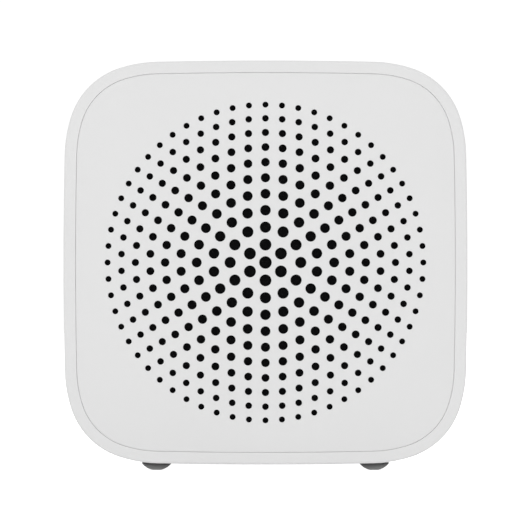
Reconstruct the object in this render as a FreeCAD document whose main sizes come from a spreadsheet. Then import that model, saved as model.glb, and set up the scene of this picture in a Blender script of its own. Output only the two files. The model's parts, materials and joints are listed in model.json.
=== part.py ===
import FreeCAD, Part
import math
import os
import re
import Sketcher

# A cube-shaped smart speaker: a moulded shell with a perforated front panel,
# a small full-range driver in its own sealed box, four sprung keys on top,
# a power inlet behind and four rubber feet.
# Millimetres. +Z is up, the front faces -Y, and the origin is on the surface
# that the speaker stands on, under the middle of the shell.

SIZES = {
    # outline seen from the front: bowed sides, shoulders, corners
    "width": 90, "height": 90, "depth": 84,
    "bow_angle": 1.28, "shoulder_angle": 17.4,
    "shoulder_radius": 30.1, "corner_radius": 16.75,
    # shell
    "wall": 2.68, "front_round": 0.5, "mouth_chamfer": 0.1,
    "ledge_width": 6.5, "ledge_depth": 4.5,
    "boss_inset": 10.2, "boss_radius": 4, "boss_length": 18,
    # front panel and its holes
    "panel_thickness": 2.5, "panel_sink": 0.12, "panel_gap": 0.04, "panel_round": 0.12,
    "mesh_skin": 1.3,
    "ring_count": 10, "holes_per_ring": 6, "pitch_loss": 0.052, "field_margin": 7.12,
    "hole_diameter": 2.8, "hole_loss": 0.147,
    "peg_inset": 4.7, "peg_spread": 14, "peg_radius": 0.9, "peg_length": 3.5, "peg_play": 0.1,
    "cloth_overlap": 1.6, "cloth_thickness": 0.4, "cloth_play": 0.3,
    # rear cover
    "cover_depth": 4, "cover_plate": 2.4, "cover_round": 3, "seam_gap": 0.3, "seam_chamfer": 0.2,
    "mouth_ease": 0.25, "recess_ease": 0.4,
    "lip_length": 2, "lip_thickness": 1.5, "lip_play": 0.15, "seal_setback": 0.5,
    "post_radius": 2.9, "cover_sink_radius": 2.6, "cover_sink_depth": 1.9, "cover_screw_length": 12,
    # screws: shank and head of the coarse and the fine kind
    "screw_radius": 1.25, "screw_head": 2.4, "screw_head_height": 1.6, "screw_length": 8,
    "fine_radius": 0.9, "fine_head": 1.7, "fine_head_height": 1.0, "fine_length": 3.6,
    "thread_play": 0.05, "pass_play": 0.25, "drive_radius": 0.9, "drive_depth": 0.7,
    # speaker box
    "flange_inset": 3.4, "flange_thickness": 2.4, "flange_screw_inset": 10.6,
    "flange_screw_length": 3.2, "blind_end": 0.4,
    "box_inset": 9.5, "box_wall": 2, "box_seal": 0.6, "seal_side": 0.1,
    "lid_thickness": 2.4, "lid_screw_inset": 4.5, "box_boss_radius": 2.6, "box_boss_length": 10,
    "standoff_length": 7, "standoff_radius": 2.6, "standoff_inset": 4,
    "lead_x": -10, "lead_z": -14, "grommet_hole": 3, "grommet_flange": 0.9, "grommet_bore": 1.5,
    # driver: frame
    "driver_space": 5.5, "frame_plate": 1, "frame_wall": 0.9, "frame_screw_inset": 1.9,
    "frame_depth": 14, "frame_back": 18.8, "shelf_depth": 10.5, "shelf_inner": 15.8,
    "surround_inset": 4.6, "window_count": 6, "window_width": 10, "window_front": 3,
    "opening_play": 1, "driver_screw_length": 6, "front_seal": 0.8, "front_seal_width": 3,
    "tab_width": 12, "tab_drop": 24, "terminal_thickness": 1.2,
    "lug_radius": 0.6, "lug_height": 1.6, "lug_spread": 3.5, "lug_drop": 21.5,
    # driver: motor
    "plate_radius": 17.5, "plate_thickness": 3, "plate_bore": 8.35,
    "magnet_radius": 18.5, "magnet_thickness": 7, "magnet_bore": 10,
    "yoke_thickness": 3, "pole_radius": 6.9, "pole_short": 0.2,
    # driver: moving parts
    "former_inner": 7.35, "former_wall": 0.12, "coil_wall": 0.5, "coil_length": 4.5,
    "former_tail": 1, "cone_depth": 6.2, "cone_wall": 0.5, "cone_lip": 1.6,
    "surround_span": 4, "surround_skin": 0.45, "roll_ease": 0.1,
    "cap_radius": 10, "cap_dome": 13, "cap_wall": 0.35,
    "spider_skin": 0.4, "spider_count": 4, "spider_curl": 0.58, "spider_play": 0.03,
    "tinsel_radius": 0.35,
    # main board and what it carries
    "board_thickness": 1.6, "board_margin": 14, "board_setback": 18.4,
    "can_x": 12, "can_z": 8, "can_width": 22, "can_height": 18, "can_depth": 2.4, "can_wall": 0.25,
    "chip_width": 12, "chip_depth": 1.1,
    "amplifier_x": -17, "amplifier_z": -6, "amplifier_width": 7, "amplifier_depth": 1,
    "choke_x": -20, "choke_z": 6, "choke_pitch": 8.5, "choke_width": 6, "choke_depth": 3,
    "capacitor_x": -20, "capacitor_z": -19, "capacitor_pitch": 8, "capacitor_radius": 3.1,
    "capacitor_height": 7, "capacitor_round": 0.5,
    "socket_width": 7, "socket_height": 5, "socket_depth": 4.5,
    "lead_pitch": 2, "lead_radius": 0.6, "lead_bend": 3,
    # power inlet
    "inlet_z": -21, "recess_radius": 5.5, "recess_depth": 5, "recess_wall": 1.5, "recess_floor": 1.2,
    "nose_radius": 4, "nose_play": 0.15, "jack_width": 11, "jack_bore": 3.15, "jack_floor": 2,
    "pin_radius": 1, "pin_setback": 0.8, "pin_round": 0.4,
    # keys, their switches and the key board
    "dish_margin": 2.7, "dish_depth": 0.35, "key_ring": 12, "key_radius": 4.3, "key_play": 0.15,
    "key_sink": 0.15, "key_round": 0.35, "key_flange": 5.2, "key_flange_depth": 1, "top_skin": 2.2,
    "flange_rest": 0.05, "key_stem": 1.3, "key_travel": 0.4,
    "key_board_drop": 6.4, "key_board_thickness": 1.2, "key_board_margin": 4.7,
    "key_board_gap": 2, "key_board_setback": 2.6, "key_setback": 11.6, "key_post_x": 18, "key_post_y": 15,
    "key_post_radius": 2.2, "key_screw_grip": 2.4, "relief_side": 1, "key_ease": 0.15,
    "switch_width": 5.2, "switch_height": 1.6, "plunger_radius": 1.2, "plunger_play": 0.06,
    "plunger_foot": 0.7,
    # microphones and status light
    "mic_x": 14, "mic_setback": 6.6, "mic_port": 0.5, "mic_width": 4, "mic_length": 3, "mic_height": 1.1,
    "mic_seal": 1.4, "light_radius": 1.2, "light_play": 0.06, "light_flange": 1.9,
    "light_flange_depth": 0.8, "led_width": 2, "led_height": 0.8,
    # flat cable and its two sockets
    "ribbon_width": 8, "ribbon_thickness": 0.3, "ribbon_bend": 3, "ribbon_lift": 0.8,
    "ribbon_socket_width": 11, "ribbon_socket_length": 4, "ribbon_socket_height": 1.6,
    "ribbon_setback": 5.1, "ribbon_socket_z": 24, "ribbon_grip": 1.5,
    # aerial
    "aerial_setback": 15, "aerial_glue": 0.06,
    "aerial_length": 12, "aerial_height": 16, "aerial_thickness": 0.8,
    "aerial_lead_radius": 0.55, "aerial_socket_x": -27, "aerial_socket_radius": 1.3,
    "aerial_socket_height": 1.4,
    # feet
    "foot_stand": 1.55, "foot_side_inset": 20.6, "foot_end_inset": 16, "foot_dome": 4.3,
    "foot_tip": 1, "foot_radius": 3.3, "foot_play": 0.12, "foot_seat": 1.2,
    "foot_stem": 1.4, "foot_head": 2.1, "foot_head_height": 1.3, "foot_lift": 0.52,
}

doc = FreeCAD.newDocument("smart_speaker")
sheet = doc.addObject("Spreadsheet::Sheet", "Sizes")
for row, (alias, number) in enumerate(SIZES.items(), start=1):
    sheet.set(f"A{row}", alias)
    sheet.set(f"B{row}", str(number))
    sheet.setAlias(f"B{row}", alias)
doc.recompute()

subparts = []
HAND_OF_XZ = -1          # a sketch on the XZ plane faces -Y


# ---------------------------------------------------------------- expressions

def bind(text):
    """The expression with each size's name led by its sheet's."""
    return re.sub(r"[a-z_]+", lambda word: "Sizes." + word[0] if word[0] in SIZES else word[0], str(text))


def size(text):
    """What the expression is worth now, in millimetres or degrees."""
    return float(sheet.evalExpression(str(text)))


# stations along Z, from the ground, and along Y, from the front to the rear
MIDDLE = "(foot_stand + height / 2)"
TOP = "(foot_stand + height)"
FRONT = "(-depth / 2)"
PANEL_BACK = "(-depth / 2 + panel_thickness)"
LEDGE_BACK = "(-depth / 2 + panel_thickness + ledge_depth)"
REAR = "(depth / 2)"
SEAM = "(depth / 2 - cover_depth)"
LIP_FRONT = "(depth / 2 - cover_depth - lip_length)"
BOARD_REAR = "(depth / 2 - board_setback)"
BOARD_FRONT = "(depth / 2 - board_setback - board_thickness)"
LID_BACK = f"({BOARD_FRONT} - standoff_length)"
LID_FRONT = f"({LID_BACK} - lid_thickness)"
BOX_BACK = f"({LID_FRONT} - box_seal)"
BOX_WALL_BACK = f"({LEDGE_BACK} + flange_thickness)"
SHELF = f"({LEDGE_BACK} + shelf_depth)"
MOTOR = f"({LEDGE_BACK} + frame_depth)"
MAGNET_FRONT = f"({MOTOR} + plate_thickness)"
YOKE_FRONT = f"({MAGNET_FRONT} + magnet_thickness)"
LIP_FACE = f"({LEDGE_BACK} - frame_plate)"

KEY_BOARD_FRONT = f"({BOX_WALL_BACK} + key_board_gap)"
KEY_BOARD_REAR = f"({BOARD_REAR} - key_board_setback)"
KEY_Y = f"({BOARD_REAR} - key_setback - key_ring)"
KEY_BOARD_HALF = "(key_ring + key_radius + key_board_margin)"
MIC_Y = f"({KEY_BOARD_FRONT} + mic_setback)"
RIBBON_Y = f"({BOARD_REAR} - ribbon_setback)"

# distances from the middle of the front view
HALF_WIDTH = "(width / 2)"
HALF_HEIGHT = "(height / 2)"
HALF_LEAST = "(min(width; height) / 2)"
FRAME_RADIUS = f"({HALF_LEAST} - ledge_width - driver_space)"
SURROUND_RADIUS = f"({FRAME_RADIUS} - surround_inset)"
CONE_RADIUS = f"({SURROUND_RADIUS} - surround_span)"
OPENING_RADIUS = f"({SURROUND_RADIUS} + opening_play)"
FIELD_RADIUS = f"({HALF_LEAST} - wall - panel_gap - field_margin)"
CLOTH_RADIUS = f"({FIELD_RADIUS} + hole_diameter / 2 + cloth_overlap)"
COIL_INNER = "(former_inner + former_wall)"
DIAGONAL = math.sqrt(0.5)


def corners(across, up):
    """The four spots at that distance each side of the middle."""
    return [(f"{i} * {across}", f"{j} * {up}") for i in (-1, 1) for j in (-1, 1)]


COVER_SPOTS = corners(f"({HALF_WIDTH} - boss_inset)", f"({HALF_HEIGHT} - boss_inset)")
FLANGE_SPOTS = corners(f"({HALF_WIDTH} - flange_screw_inset)", f"({HALF_HEIGHT} - flange_screw_inset)")
BOARD_SPOTS = corners(f"({HALF_WIDTH} - board_margin - standoff_inset)",
                      f"({HALF_HEIGHT} - board_margin - standoff_inset)")
DRIVER_SPOTS = corners(f"({FRAME_RADIUS} - frame_screw_inset) * {DIAGONAL}",
                       f"({FRAME_RADIUS} - frame_screw_inset) * {DIAGONAL}")
LID_SPOTS = [(f"{i} * ({HALF_WIDTH} - box_inset - lid_screw_inset)", "0") for i in (-1, 1)]
LID_SPOTS += [("0", f"{i} * ({HALF_HEIGHT} - box_inset - lid_screw_inset)") for i in (-1, 1)]
PEG_SPOTS = corners(f"({HALF_WIDTH} - peg_inset)", "peg_spread")
PEG_SPOTS += corners("peg_spread", f"({HALF_HEIGHT} - peg_inset)")
KEY_POST_SPOTS = [(x, f"{KEY_Y} + {y}") for x, y in corners("key_post_x", "key_post_y")]
FOOT_SPOTS = corners(f"({HALF_WIDTH} - foot_side_inset)", f"({REAR} - foot_end_inset)")
MIC_SPOTS = [("-mic_x", MIC_Y), ("mic_x", MIC_Y)]
KEY_SPOTS = {
    "play_key": ("0", f"({KEY_Y} - key_ring)"),
    "volume_down_key": ("-key_ring", KEY_Y),
    "volume_up_key": ("key_ring", KEY_Y),
    "mute_key": ("0", f"({KEY_Y} + key_ring)"),
}


# ------------------------------------------------------- bodies and sketches

def body(name, x="0", y="0", z="0"):
    """A sub-part: a body of that name whose own origin is at x, y, z."""
    made = doc.addObject("PartDesign::Body", name)
    made.Label = name
    made.AllowCompound = True
    for axis, where in zip("xyz", (x, y, z)):
        made.setExpression("Placement.Base." + axis, bind(where))
    subparts.append(made)
    return made


def sketch(owner, plane, out="0", across="0", up="0"):
    """A sketch on one of the body's planes, moved out along +X, +Y or +Z and within the plane."""
    made = owner.newObject("Sketcher::SketchObject", owner.Name + "_sketch")
    base = next(item for item in owner.Origin.OriginFeatures if item.Role == plane + "_Plane")
    made.AttachmentSupport = [(base, "")]
    made.MapMode = "FlatFace"
    hand = HAND_OF_XZ if plane == "XZ" else 1
    for axis, move in zip("xyz", (across, up, f"{hand} * ({out})")):
        made.setExpression("AttachmentOffset.Base." + axis, bind(move))
    return made


def fix(drawn, kind, *place):
    """A constraint whose value, given last, is an expression."""
    number = drawn.addConstraint(Sketcher.Constraint(kind, *place[:-1], size(place[-1])))
    drawn.setExpression(f"Constraints[{number}]", bind(place[-1]))


def circle(drawn, x, y, radius):
    middle = FreeCAD.Vector(size(x), size(y), 0)
    ring = drawn.addGeometry(Part.Circle(middle, FreeCAD.Vector(0, 0, 1), size(radius)), False)
    fix(drawn, "DistanceX", ring, 3, x)
    fix(drawn, "DistanceY", ring, 3, y)
    fix(drawn, "Radius", ring, radius)


def profile(drawn, points):
    """A closed outline. A third item in a point is the radius of the arc to the next point:
    positive turns left on the way, negative right, and the arc is the shorter one."""
    spots = [FreeCAD.Vector(size(point[0]), size(point[1]), 0) for point in points]
    lines = []
    for number, point in enumerate(points):
        here, after = spots[number], spots[(number + 1) % len(points)]
        if len(point) == 2:
            lines.append((drawn.addGeometry(Part.LineSegment(here, after), False), 1, 2))
            continue
        radius = size(point[2])
        chord = after - here
        rise = math.sqrt(radius ** 2 - (chord.Length / 2) ** 2)
        left = FreeCAD.Vector(-chord.y, chord.x, 0).normalize()
        middle = (here + after) * 0.5 + left * math.copysign(rise, radius)
        first, last = (here, after) if radius > 0 else (after, here)
        ring = Part.Circle(middle, FreeCAD.Vector(0, 0, 1), abs(radius))
        arc = Part.ArcOfCircle(ring, *(math.atan2(p.y - middle.y, p.x - middle.x) for p in (first, last)))
        ends = (1, 2) if radius > 0 else (2, 1)
        lines.append((drawn.addGeometry(arc, False), *ends))
        fix(drawn, "Radius", lines[-1][0], point[2] if radius > 0 else f"-({point[2]})")
    for number, (line, start, end) in enumerate(lines):
        after, after_start, _ = lines[(number + 1) % len(lines)]
        drawn.addConstraint(Sketcher.Constraint("Coincident", line, end, after, after_start))
        fix(drawn, "DistanceX", line, start, points[number][0])
        fix(drawn, "DistanceY", line, start, points[number][1])


def rectangle(drawn, left, low, right, high):
    profile(drawn, [(left, low), (right, low), (right, high), (left, high)])


def outline(drawn, inset):
    """The speaker's front outline, moved inwards: in each quarter a bowed side, a shoulder,
    a corner, a shoulder and a bowed side, all tangent."""
    half_width, half_height, moved_in = size(HALF_WIDTH), size(HALF_HEIGHT), size(inset)
    bow, shoulder = math.radians(size("bow_angle")), math.radians(size("shoulder_angle"))
    shoulder_radius, corner_radius = size("shoulder_radius"), size("corner_radius")
    step = shoulder_radius - corner_radius
    fall, rise = 1 - math.cos(bow), math.sin(bow)
    left_over = step * (math.cos(shoulder) - math.sin(shoulder)) - shoulder_radius * (1 - fall - rise)
    across, up = half_width + left_over, half_height + left_over
    side_radius = (fall * across - rise * up) / (fall ** 2 - rise ** 2)
    top_radius = (fall * up - rise * across) / (fall ** 2 - rise ** 2)
    side = (half_width - side_radius, 0)
    top = (0, half_height - top_radius)
    low = (side[0] + (side_radius - shoulder_radius) * math.cos(bow), (side_radius - shoulder_radius) * rise)
    high = ((top_radius - shoulder_radius) * rise, top[1] + (top_radius - shoulder_radius) * math.cos(bow))
    corner = (low[0] + step * math.cos(shoulder), low[1] + step * math.sin(shoulder))
    right_angle = math.pi / 2
    quarter = [(low, shoulder_radius, bow, shoulder),
               (corner, corner_radius, shoulder, right_angle - shoulder),
               (high, shoulder_radius, right_angle - shoulder, right_angle - bow)]
    arcs = [(side, side_radius, -bow, bow), *quarter, (top, top_radius, right_angle - bow, right_angle + bow)]
    arcs += [((-x, y), radius, math.pi - last, math.pi - first) for (x, y), radius, first, last in quarter]
    arcs += [((-x, -y), radius, first + math.pi, last + math.pi) for (x, y), radius, first, last in arcs]
    for (x, y), radius, first, last in arcs:
        ring = Part.Circle(FreeCAD.Vector(x, y, 0), FreeCAD.Vector(0, 0, 1), radius - moved_in)
        arc = drawn.addGeometry(Part.ArcOfCircle(ring, first, last), False)
        drawn.addConstraint(Sketcher.Constraint("Block", arc))


# ------------------------------------------------------------------ features

def add(owner, kind, drawn=None):
    made = owner.newObject("PartDesign::" + kind, f"{owner.Name}_{kind.lower()}")
    if drawn is not None:
        made.Profile = drawn
    return made


def faces_back(drawn):
    return drawn.AttachmentSupport[0][0].Role == "XZ_Plane"


def pad(owner, drawn, length):
    """Material from the sketch towards +X, +Y or +Z."""
    made = add(owner, "Pad", drawn)
    made.Reversed = faces_back(drawn)
    made.setExpression("Length", bind(length))
    return made


def pocket(owner, drawn, length, backwards=False):
    """A cut from the sketch towards +X, +Y or +Z, or the other way when backwards."""
    doc.recompute()
    before = owner.Shape.Volume
    made = add(owner, "Pocket", drawn)
    made.Reversed = faces_back(drawn) == backwards
    made.setExpression("Length", bind(length))
    doc.recompute()
    if owner.Shape.Volume > before - 1e-4:
        raise ValueError(f"{made.Name} cuts nothing")
    return made


def rim_edge(owner, y, x):
    """The name of an outline's edge at that y which crosses the middle of the side, at that x."""
    near = 1e-3
    for number, edge in enumerate(owner.Tip.Shape.Edges, start=1):
        box = edge.BoundBox
        level = abs(box.YMin - size(y)) < near and abs(box.YMax - size(y)) < near
        if level and box.ZMin < 0 < box.ZMax and abs(box.XMax - size(x)) < near:
            return f"Edge{number}"
    raise ValueError(f"{owner.Name} has no rim at {y}, {x}")


def dress(owner, kind, edges, amount):
    """A fillet or a chamfer that runs round the whole rim that each edge is on."""
    base = owner.Tip
    made = add(owner, kind)
    made.Base = (base, [edges] if isinstance(edges, str) else edges)
    made.setExpression("Radius" if kind == "Fillet" else "Size", bind(amount))
    doc.recompute()
    return made


def ease(owner, radius, axis, level, amount):
    """A chamfer on each round edge of that radius which lies at that level along the axis."""
    near = 1e-3
    edges = []
    for number, edge in enumerate(owner.Tip.Shape.Edges, start=1):
        if isinstance(edge.Curve, Part.Circle) and abs(edge.Curve.Radius - size(radius)) < near:
            if abs(getattr(edge.Curve.Center, axis) - size(level)) < near:
                edges.append(f"Edge{number}")
    dress(owner, "Chamfer", edges, amount)


def turn(owner, points, about="Y", x="0", y="0", z="0"):
    """A turned solid. The points are (place along the axis, radius) about Y, or (radius, height) about Z."""
    if about == "Y":
        drawn = sketch(owner, "YZ", out=x, across=y, up=z)
        axis = "H_Axis"
    else:
        drawn = sketch(owner, "XZ", out=y, across=x, up=z)
        axis = "V_Axis"
    profile(drawn, points)
    made = add(owner, "Revolution", drawn)
    made.ReferenceAxis = (drawn, [axis])
    made.Angle = 360
    return made


def ring_points(front, back, inner, outer):
    return [(front, inner), (front, outer), (back, outer), (back, inner)]


def turned(name, points, about="Y", x="0", y="0", z=MIDDLE):
    """A sub-part that is one turned solid."""
    made = body(name, x, y, z)
    turn(made, points, about)
    return made


def block(owner, x, y, z, wide, deep, tall):
    """A box centred on x and z that starts at y and runs towards +Y."""
    drawn = sketch(owner, "XZ", out=y)
    rectangle(drawn, f"{x} - {wide} / 2", f"{z} - {tall} / 2", f"{x} + {wide} / 2", f"{z} + {tall} / 2")
    return pad(owner, drawn, deep)


def slab(owner, x, y, z, wide, deep, tall):
    """A box centred on x and y that stands on z."""
    drawn = sketch(owner, "XY", out=z)
    rectangle(drawn, f"{x} - {wide} / 2", f"{y} - {deep} / 2", f"{x} + {wide} / 2", f"{y} + {deep} / 2")
    return pad(owner, drawn, tall)


def discs(owner, plane, spots, radius, out, length):
    """Round posts on the plane at each spot."""
    drawn = sketch(owner, plane, out=out)
    for x, y in spots:
        circle(drawn, x, y, radius)
    return pad(owner, drawn, length)


def holes(owner, plane, spots, radius, out, length, backwards=False):
    """Round holes in the plane at each spot."""
    drawn = sketch(owner, plane, out=out)
    for x, y in spots:
        circle(drawn, x, y, radius)
    return pocket(owner, drawn, length, backwards)


def screws(name, spots, head_at, kind="screw", length=None, about="Y", z=MIDDLE, forwards=True):
    """A set of pan-head screws. head_at is where the heads bear; the shanks run towards -Y or,
    about Z, towards +Z."""
    made = body(name, z=z)
    long = length or f"{kind}_length"
    head, tall, shank = f"{kind}_head", f"{kind}_head_height", f"{kind}_radius"
    way = "-1" if about == "Y" else "1"
    for first, second in spots:
        along = [(f"{way} * ({long})", "0"), (f"{way} * ({long})", shank), ("0", shank), ("0", head),
                 (f"-({way}) * {tall} * 0.55", head), (f"-({way}) * {tall}", f"{head} * 0.75"),
                 (f"-({way}) * {tall}", "drive_radius"),
                 (f"-({way}) * ({tall} - drive_depth)", "drive_radius"),
                 (f"-({way}) * ({tall} - drive_depth)", "0")]
        if about == "Y":
            turn(made, along, "Y", x=first, y=head_at, z=second)
        else:
            turn(made, [(radius, height) for height, radius in along], "Z", x=first, y=second, z=head_at)
    return made


def run(name, routes, section, bend, z=MIDDLE):
    """A lead or a flat cable: straight runs joined by arcs that are tangent to them. The section
    is a radius for round leads, or a width and a thickness for a flat cable that lies across X."""
    solids = []
    for route in routes:
        spots = [FreeCAD.Vector(*(size(number) for number in spot)) for spot in route]
        edges = []
        start = spots[0]
        for before, here, after in zip(spots, spots[1:], spots[2:]):
            come, leave = (here - before).normalize(), (after - here).normalize()
            half_turn = come.getAngle(leave) / 2
            cut = size(bend) * math.tan(half_turn)
            inward = (leave - come).normalize()
            middle = here + inward * (size(bend) / math.cos(half_turn))
            first, last = here - come * cut, here + leave * cut
            nearest = middle - inward * size(bend)
            edges += [Part.LineSegment(start, first).toShape(), Part.Arc(first, nearest, last).toShape()]
            start = last
        edges.append(Part.LineSegment(start, spots[-1]).toShape())
        path = Part.Wire(edges)
        ahead = (spots[1] - spots[0]).normalize()
        if len(section) == 1:
            face = Part.Wire(Part.makeCircle(size(section[0]), spots[0], ahead))
        else:
            wide = FreeCAD.Vector(size(section[0]) / 2, 0, 0)
            thick = ahead.cross(FreeCAD.Vector(1, 0, 0)) * (size(section[1]) / 2)
            ends = [wide + thick, thick - wide, -wide - thick, wide - thick, wide + thick]
            face = Part.makePolygon([spots[0] + end for end in ends])
        solid = path.makePipeShell([face], True, True)
        area = Part.Face(face).Area
        if abs(solid.Volume / (area * path.Length) - 1) > 0.02:
            raise ValueError(f"{name} isn't its section along its route")
        solids.append(solid)
    made = doc.addObject("Part::Feature", name)
    made.Label = name
    made.Shape = Part.makeCompound(solids)
    made.setExpression("Placement.Base.z", bind(z))
    subparts.append(made)
    return made


# ----------------------------------------------------------- shell and covers

def make_main_shell():
    shell = body("main_shell", z=MIDDLE)
    drawn = sketch(shell, "XZ", out=FRONT)
    outline(drawn, "0")
    outline(drawn, "wall")
    pad(shell, drawn, "depth - cover_depth - seam_gap")
    doc.recompute()
    dress(shell, "Fillet", rim_edge(shell, FRONT, HALF_WIDTH), "front_round")
    dress(shell, "Chamfer", rim_edge(shell, FRONT, f"{HALF_WIDTH} - wall"), "mouth_chamfer")
    dress(shell, "Chamfer", rim_edge(shell, f"{SEAM} - seam_gap", HALF_WIDTH), "seam_chamfer")
    # the ledge that the front panel and the speaker box meet
    drawn = sketch(shell, "XZ", out=PANEL_BACK)
    outline(drawn, "wall / 2")
    outline(drawn, "ledge_width")
    pad(shell, drawn, "ledge_depth")
    holes(shell, "XZ", PEG_SPOTS, "peg_radius + peg_play", PANEL_BACK, "peg_length + blind_end")
    holes(shell, "XZ", FLANGE_SPOTS, "screw_radius + thread_play", LEDGE_BACK,
          "flange_screw_length + blind_end", backwards=True)
    # the bosses for the rear cover's screws
    discs(shell, "XZ", COVER_SPOTS, "boss_radius", f"{LIP_FRONT} - boss_length", "boss_length")
    reach = f"cover_screw_length - ({REAR} - cover_sink_depth - {LIP_FRONT}) + blind_end"
    holes(shell, "XZ", COVER_SPOTS, "screw_radius + thread_play", LIP_FRONT, reach, backwards=True)
    # the top: a shallow dish, the keys' holes, the microphones' ports and the status light's hole
    drawn = sketch(shell, "XY", out=f"{HALF_HEIGHT} - dish_depth")
    circle(drawn, "0", KEY_Y, "key_ring + key_radius + dish_margin")
    pocket(shell, drawn, "wall")
    drawn = sketch(shell, "XY", out=f"{HALF_HEIGHT} - top_skin")
    rectangle(drawn, f"-{KEY_BOARD_HALF} + relief_side", f"{BOX_WALL_BACK} + relief_side",
              f"{KEY_BOARD_HALF} - relief_side", f"{KEY_BOARD_REAR} - relief_side")
    pocket(shell, drawn, "wall", backwards=True)
    holes(shell, "XY", KEY_SPOTS.values(), "key_radius + key_play", HALF_HEIGHT, "2 * wall", backwards=True)
    ease(shell, "key_radius + key_play", "z", f"{HALF_HEIGHT} - dish_depth", "key_ease")
    holes(shell, "XY", MIC_SPOTS, "mic_port", HALF_HEIGHT, "2 * wall", backwards=True)
    holes(shell, "XY", [("0", KEY_Y)], "light_radius + light_play", HALF_HEIGHT, "2 * wall", backwards=True)
    discs(shell, "XY", KEY_POST_SPOTS, "key_post_radius", f"{HALF_HEIGHT} - key_board_drop",
          "key_board_drop - top_skin")
    holes(shell, "XY", KEY_POST_SPOTS, "fine_radius + thread_play", f"{HALF_HEIGHT} - key_board_drop",
          "key_screw_grip + blind_end")
    # the feet's seats
    holes(shell, "XY", FOOT_SPOTS, "foot_radius + foot_play", f"foot_seat - {HALF_HEIGHT}", "foot_seat",
          backwards=True)
    holes(shell, "XY", FOOT_SPOTS, "foot_stem + foot_play", f"-{HALF_HEIGHT}", "2 * wall")


def make_front_grille():
    panel = body("front_grille", z=MIDDLE)
    face = f"({FRONT} + panel_sink)"
    drawn = sketch(panel, "XZ", out=face)
    outline(drawn, "wall + panel_gap")
    pad(panel, drawn, "panel_thickness - panel_sink")
    doc.recompute()
    dress(panel, "Fillet", rim_edge(panel, face, f"{HALF_WIDTH} - wall - panel_gap"), "panel_round")
    # the back is hollowed where the holes are, so that they go through a thin skin
    holes(panel, "XZ", [("0", "0")], CLOTH_RADIUS, f"{FRONT} + mesh_skin", "panel_thickness")
    discs(panel, "XZ", PEG_SPOTS, "peg_radius", PANEL_BACK, "peg_length")
    holes(panel, "XZ", [("0", "0")], "hole_diameter / 2", FRONT, "mesh_skin")
    # each ring has six holes more than the one inside it, a little smaller and a little closer in
    last = "ring_count"
    pitch = f"(({FIELD_RADIUS} + pitch_loss * {last} * ({last} - 1)) / {last})"
    for ring in range(1, round(size(last)) + 1):
        radius = f"{pitch} * {ring} - pitch_loss * {ring * (ring - 1)}"
        spot = [("0", radius)]
        first = holes(panel, "XZ", spot, f"(hole_diameter - hole_loss * {ring}) / 2", FRONT, "mesh_skin")
        first.Refine = False
        around = add(panel, "PolarPattern")
        around.Originals = [first]
        axis = next(item for item in panel.Origin.OriginFeatures if item.Role == "Y_Axis")
        around.Axis = (axis, [""])
        around.Angle = 360
        around.setExpression("Occurrences", bind(f"holes_per_ring * {ring}"))
        around.Refine = False
        panel.Tip = around
        doc.recompute()


def make_grille_cloth():
    front = f"({FRONT} + mesh_skin)"
    points = ring_points(front, f"{front} + cloth_thickness", "0", f"{CLOTH_RADIUS} - cloth_play")
    turned("grille_cloth", points)


def make_rear_cover():
    cover = body("rear_cover", z=MIDDLE)
    drawn = sketch(cover, "XZ", out=SEAM)
    outline(drawn, "0")
    pad(cover, drawn, "cover_depth")
    doc.recompute()
    dress(cover, "Fillet", rim_edge(cover, REAR, HALF_WIDTH), "cover_round")
    dress(cover, "Chamfer", rim_edge(cover, SEAM, HALF_WIDTH), "seam_chamfer")
    drawn = sketch(cover, "XZ", out=SEAM)
    outline(drawn, "wall")
    pocket(cover, drawn, "cover_depth - cover_plate")
    drawn = sketch(cover, "XZ", out=LIP_FRONT)
    outline(drawn, "wall + lip_play")
    outline(drawn, "wall + lip_play + lip_thickness")
    pad(cover, drawn, "lip_length + cover_depth - cover_plate")
    discs(cover, "XZ", COVER_SPOTS, "post_radius", LIP_FRONT, "lip_length + cover_depth - cover_plate")
    holes(cover, "XZ", COVER_SPOTS, "cover_sink_radius", REAR, "cover_sink_depth", backwards=True)
    holes(cover, "XZ", COVER_SPOTS, "screw_radius + pass_play", REAR, "cover_depth + lip_length",
          backwards=True)
    # the round recess of the power inlet
    inlet = [("0", "inlet_z")]
    floor = f"({REAR} - recess_depth - recess_floor)"
    discs(cover, "XZ", inlet, "recess_radius + recess_wall", floor,
          "recess_depth + recess_floor - cover_plate")
    holes(cover, "XZ", inlet, "recess_radius", REAR, "recess_depth", backwards=True)
    holes(cover, "XZ", inlet, "nose_radius + nose_play", REAR, "recess_depth + recess_floor", backwards=True)
    ease(cover, "cover_sink_radius", "y", REAR, "mouth_ease")
    ease(cover, "recess_radius", "y", REAR, "recess_ease")


def make_rear_seal():
    seal = body("rear_seal", z=MIDDLE)
    drawn = sketch(seal, "XZ", out=f"{SEAM} - seam_gap")
    outline(drawn, "seal_setback")
    outline(drawn, "wall")
    pad(seal, drawn, "seam_gap")


# --------------------------------------------------------------- speaker box

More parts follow.
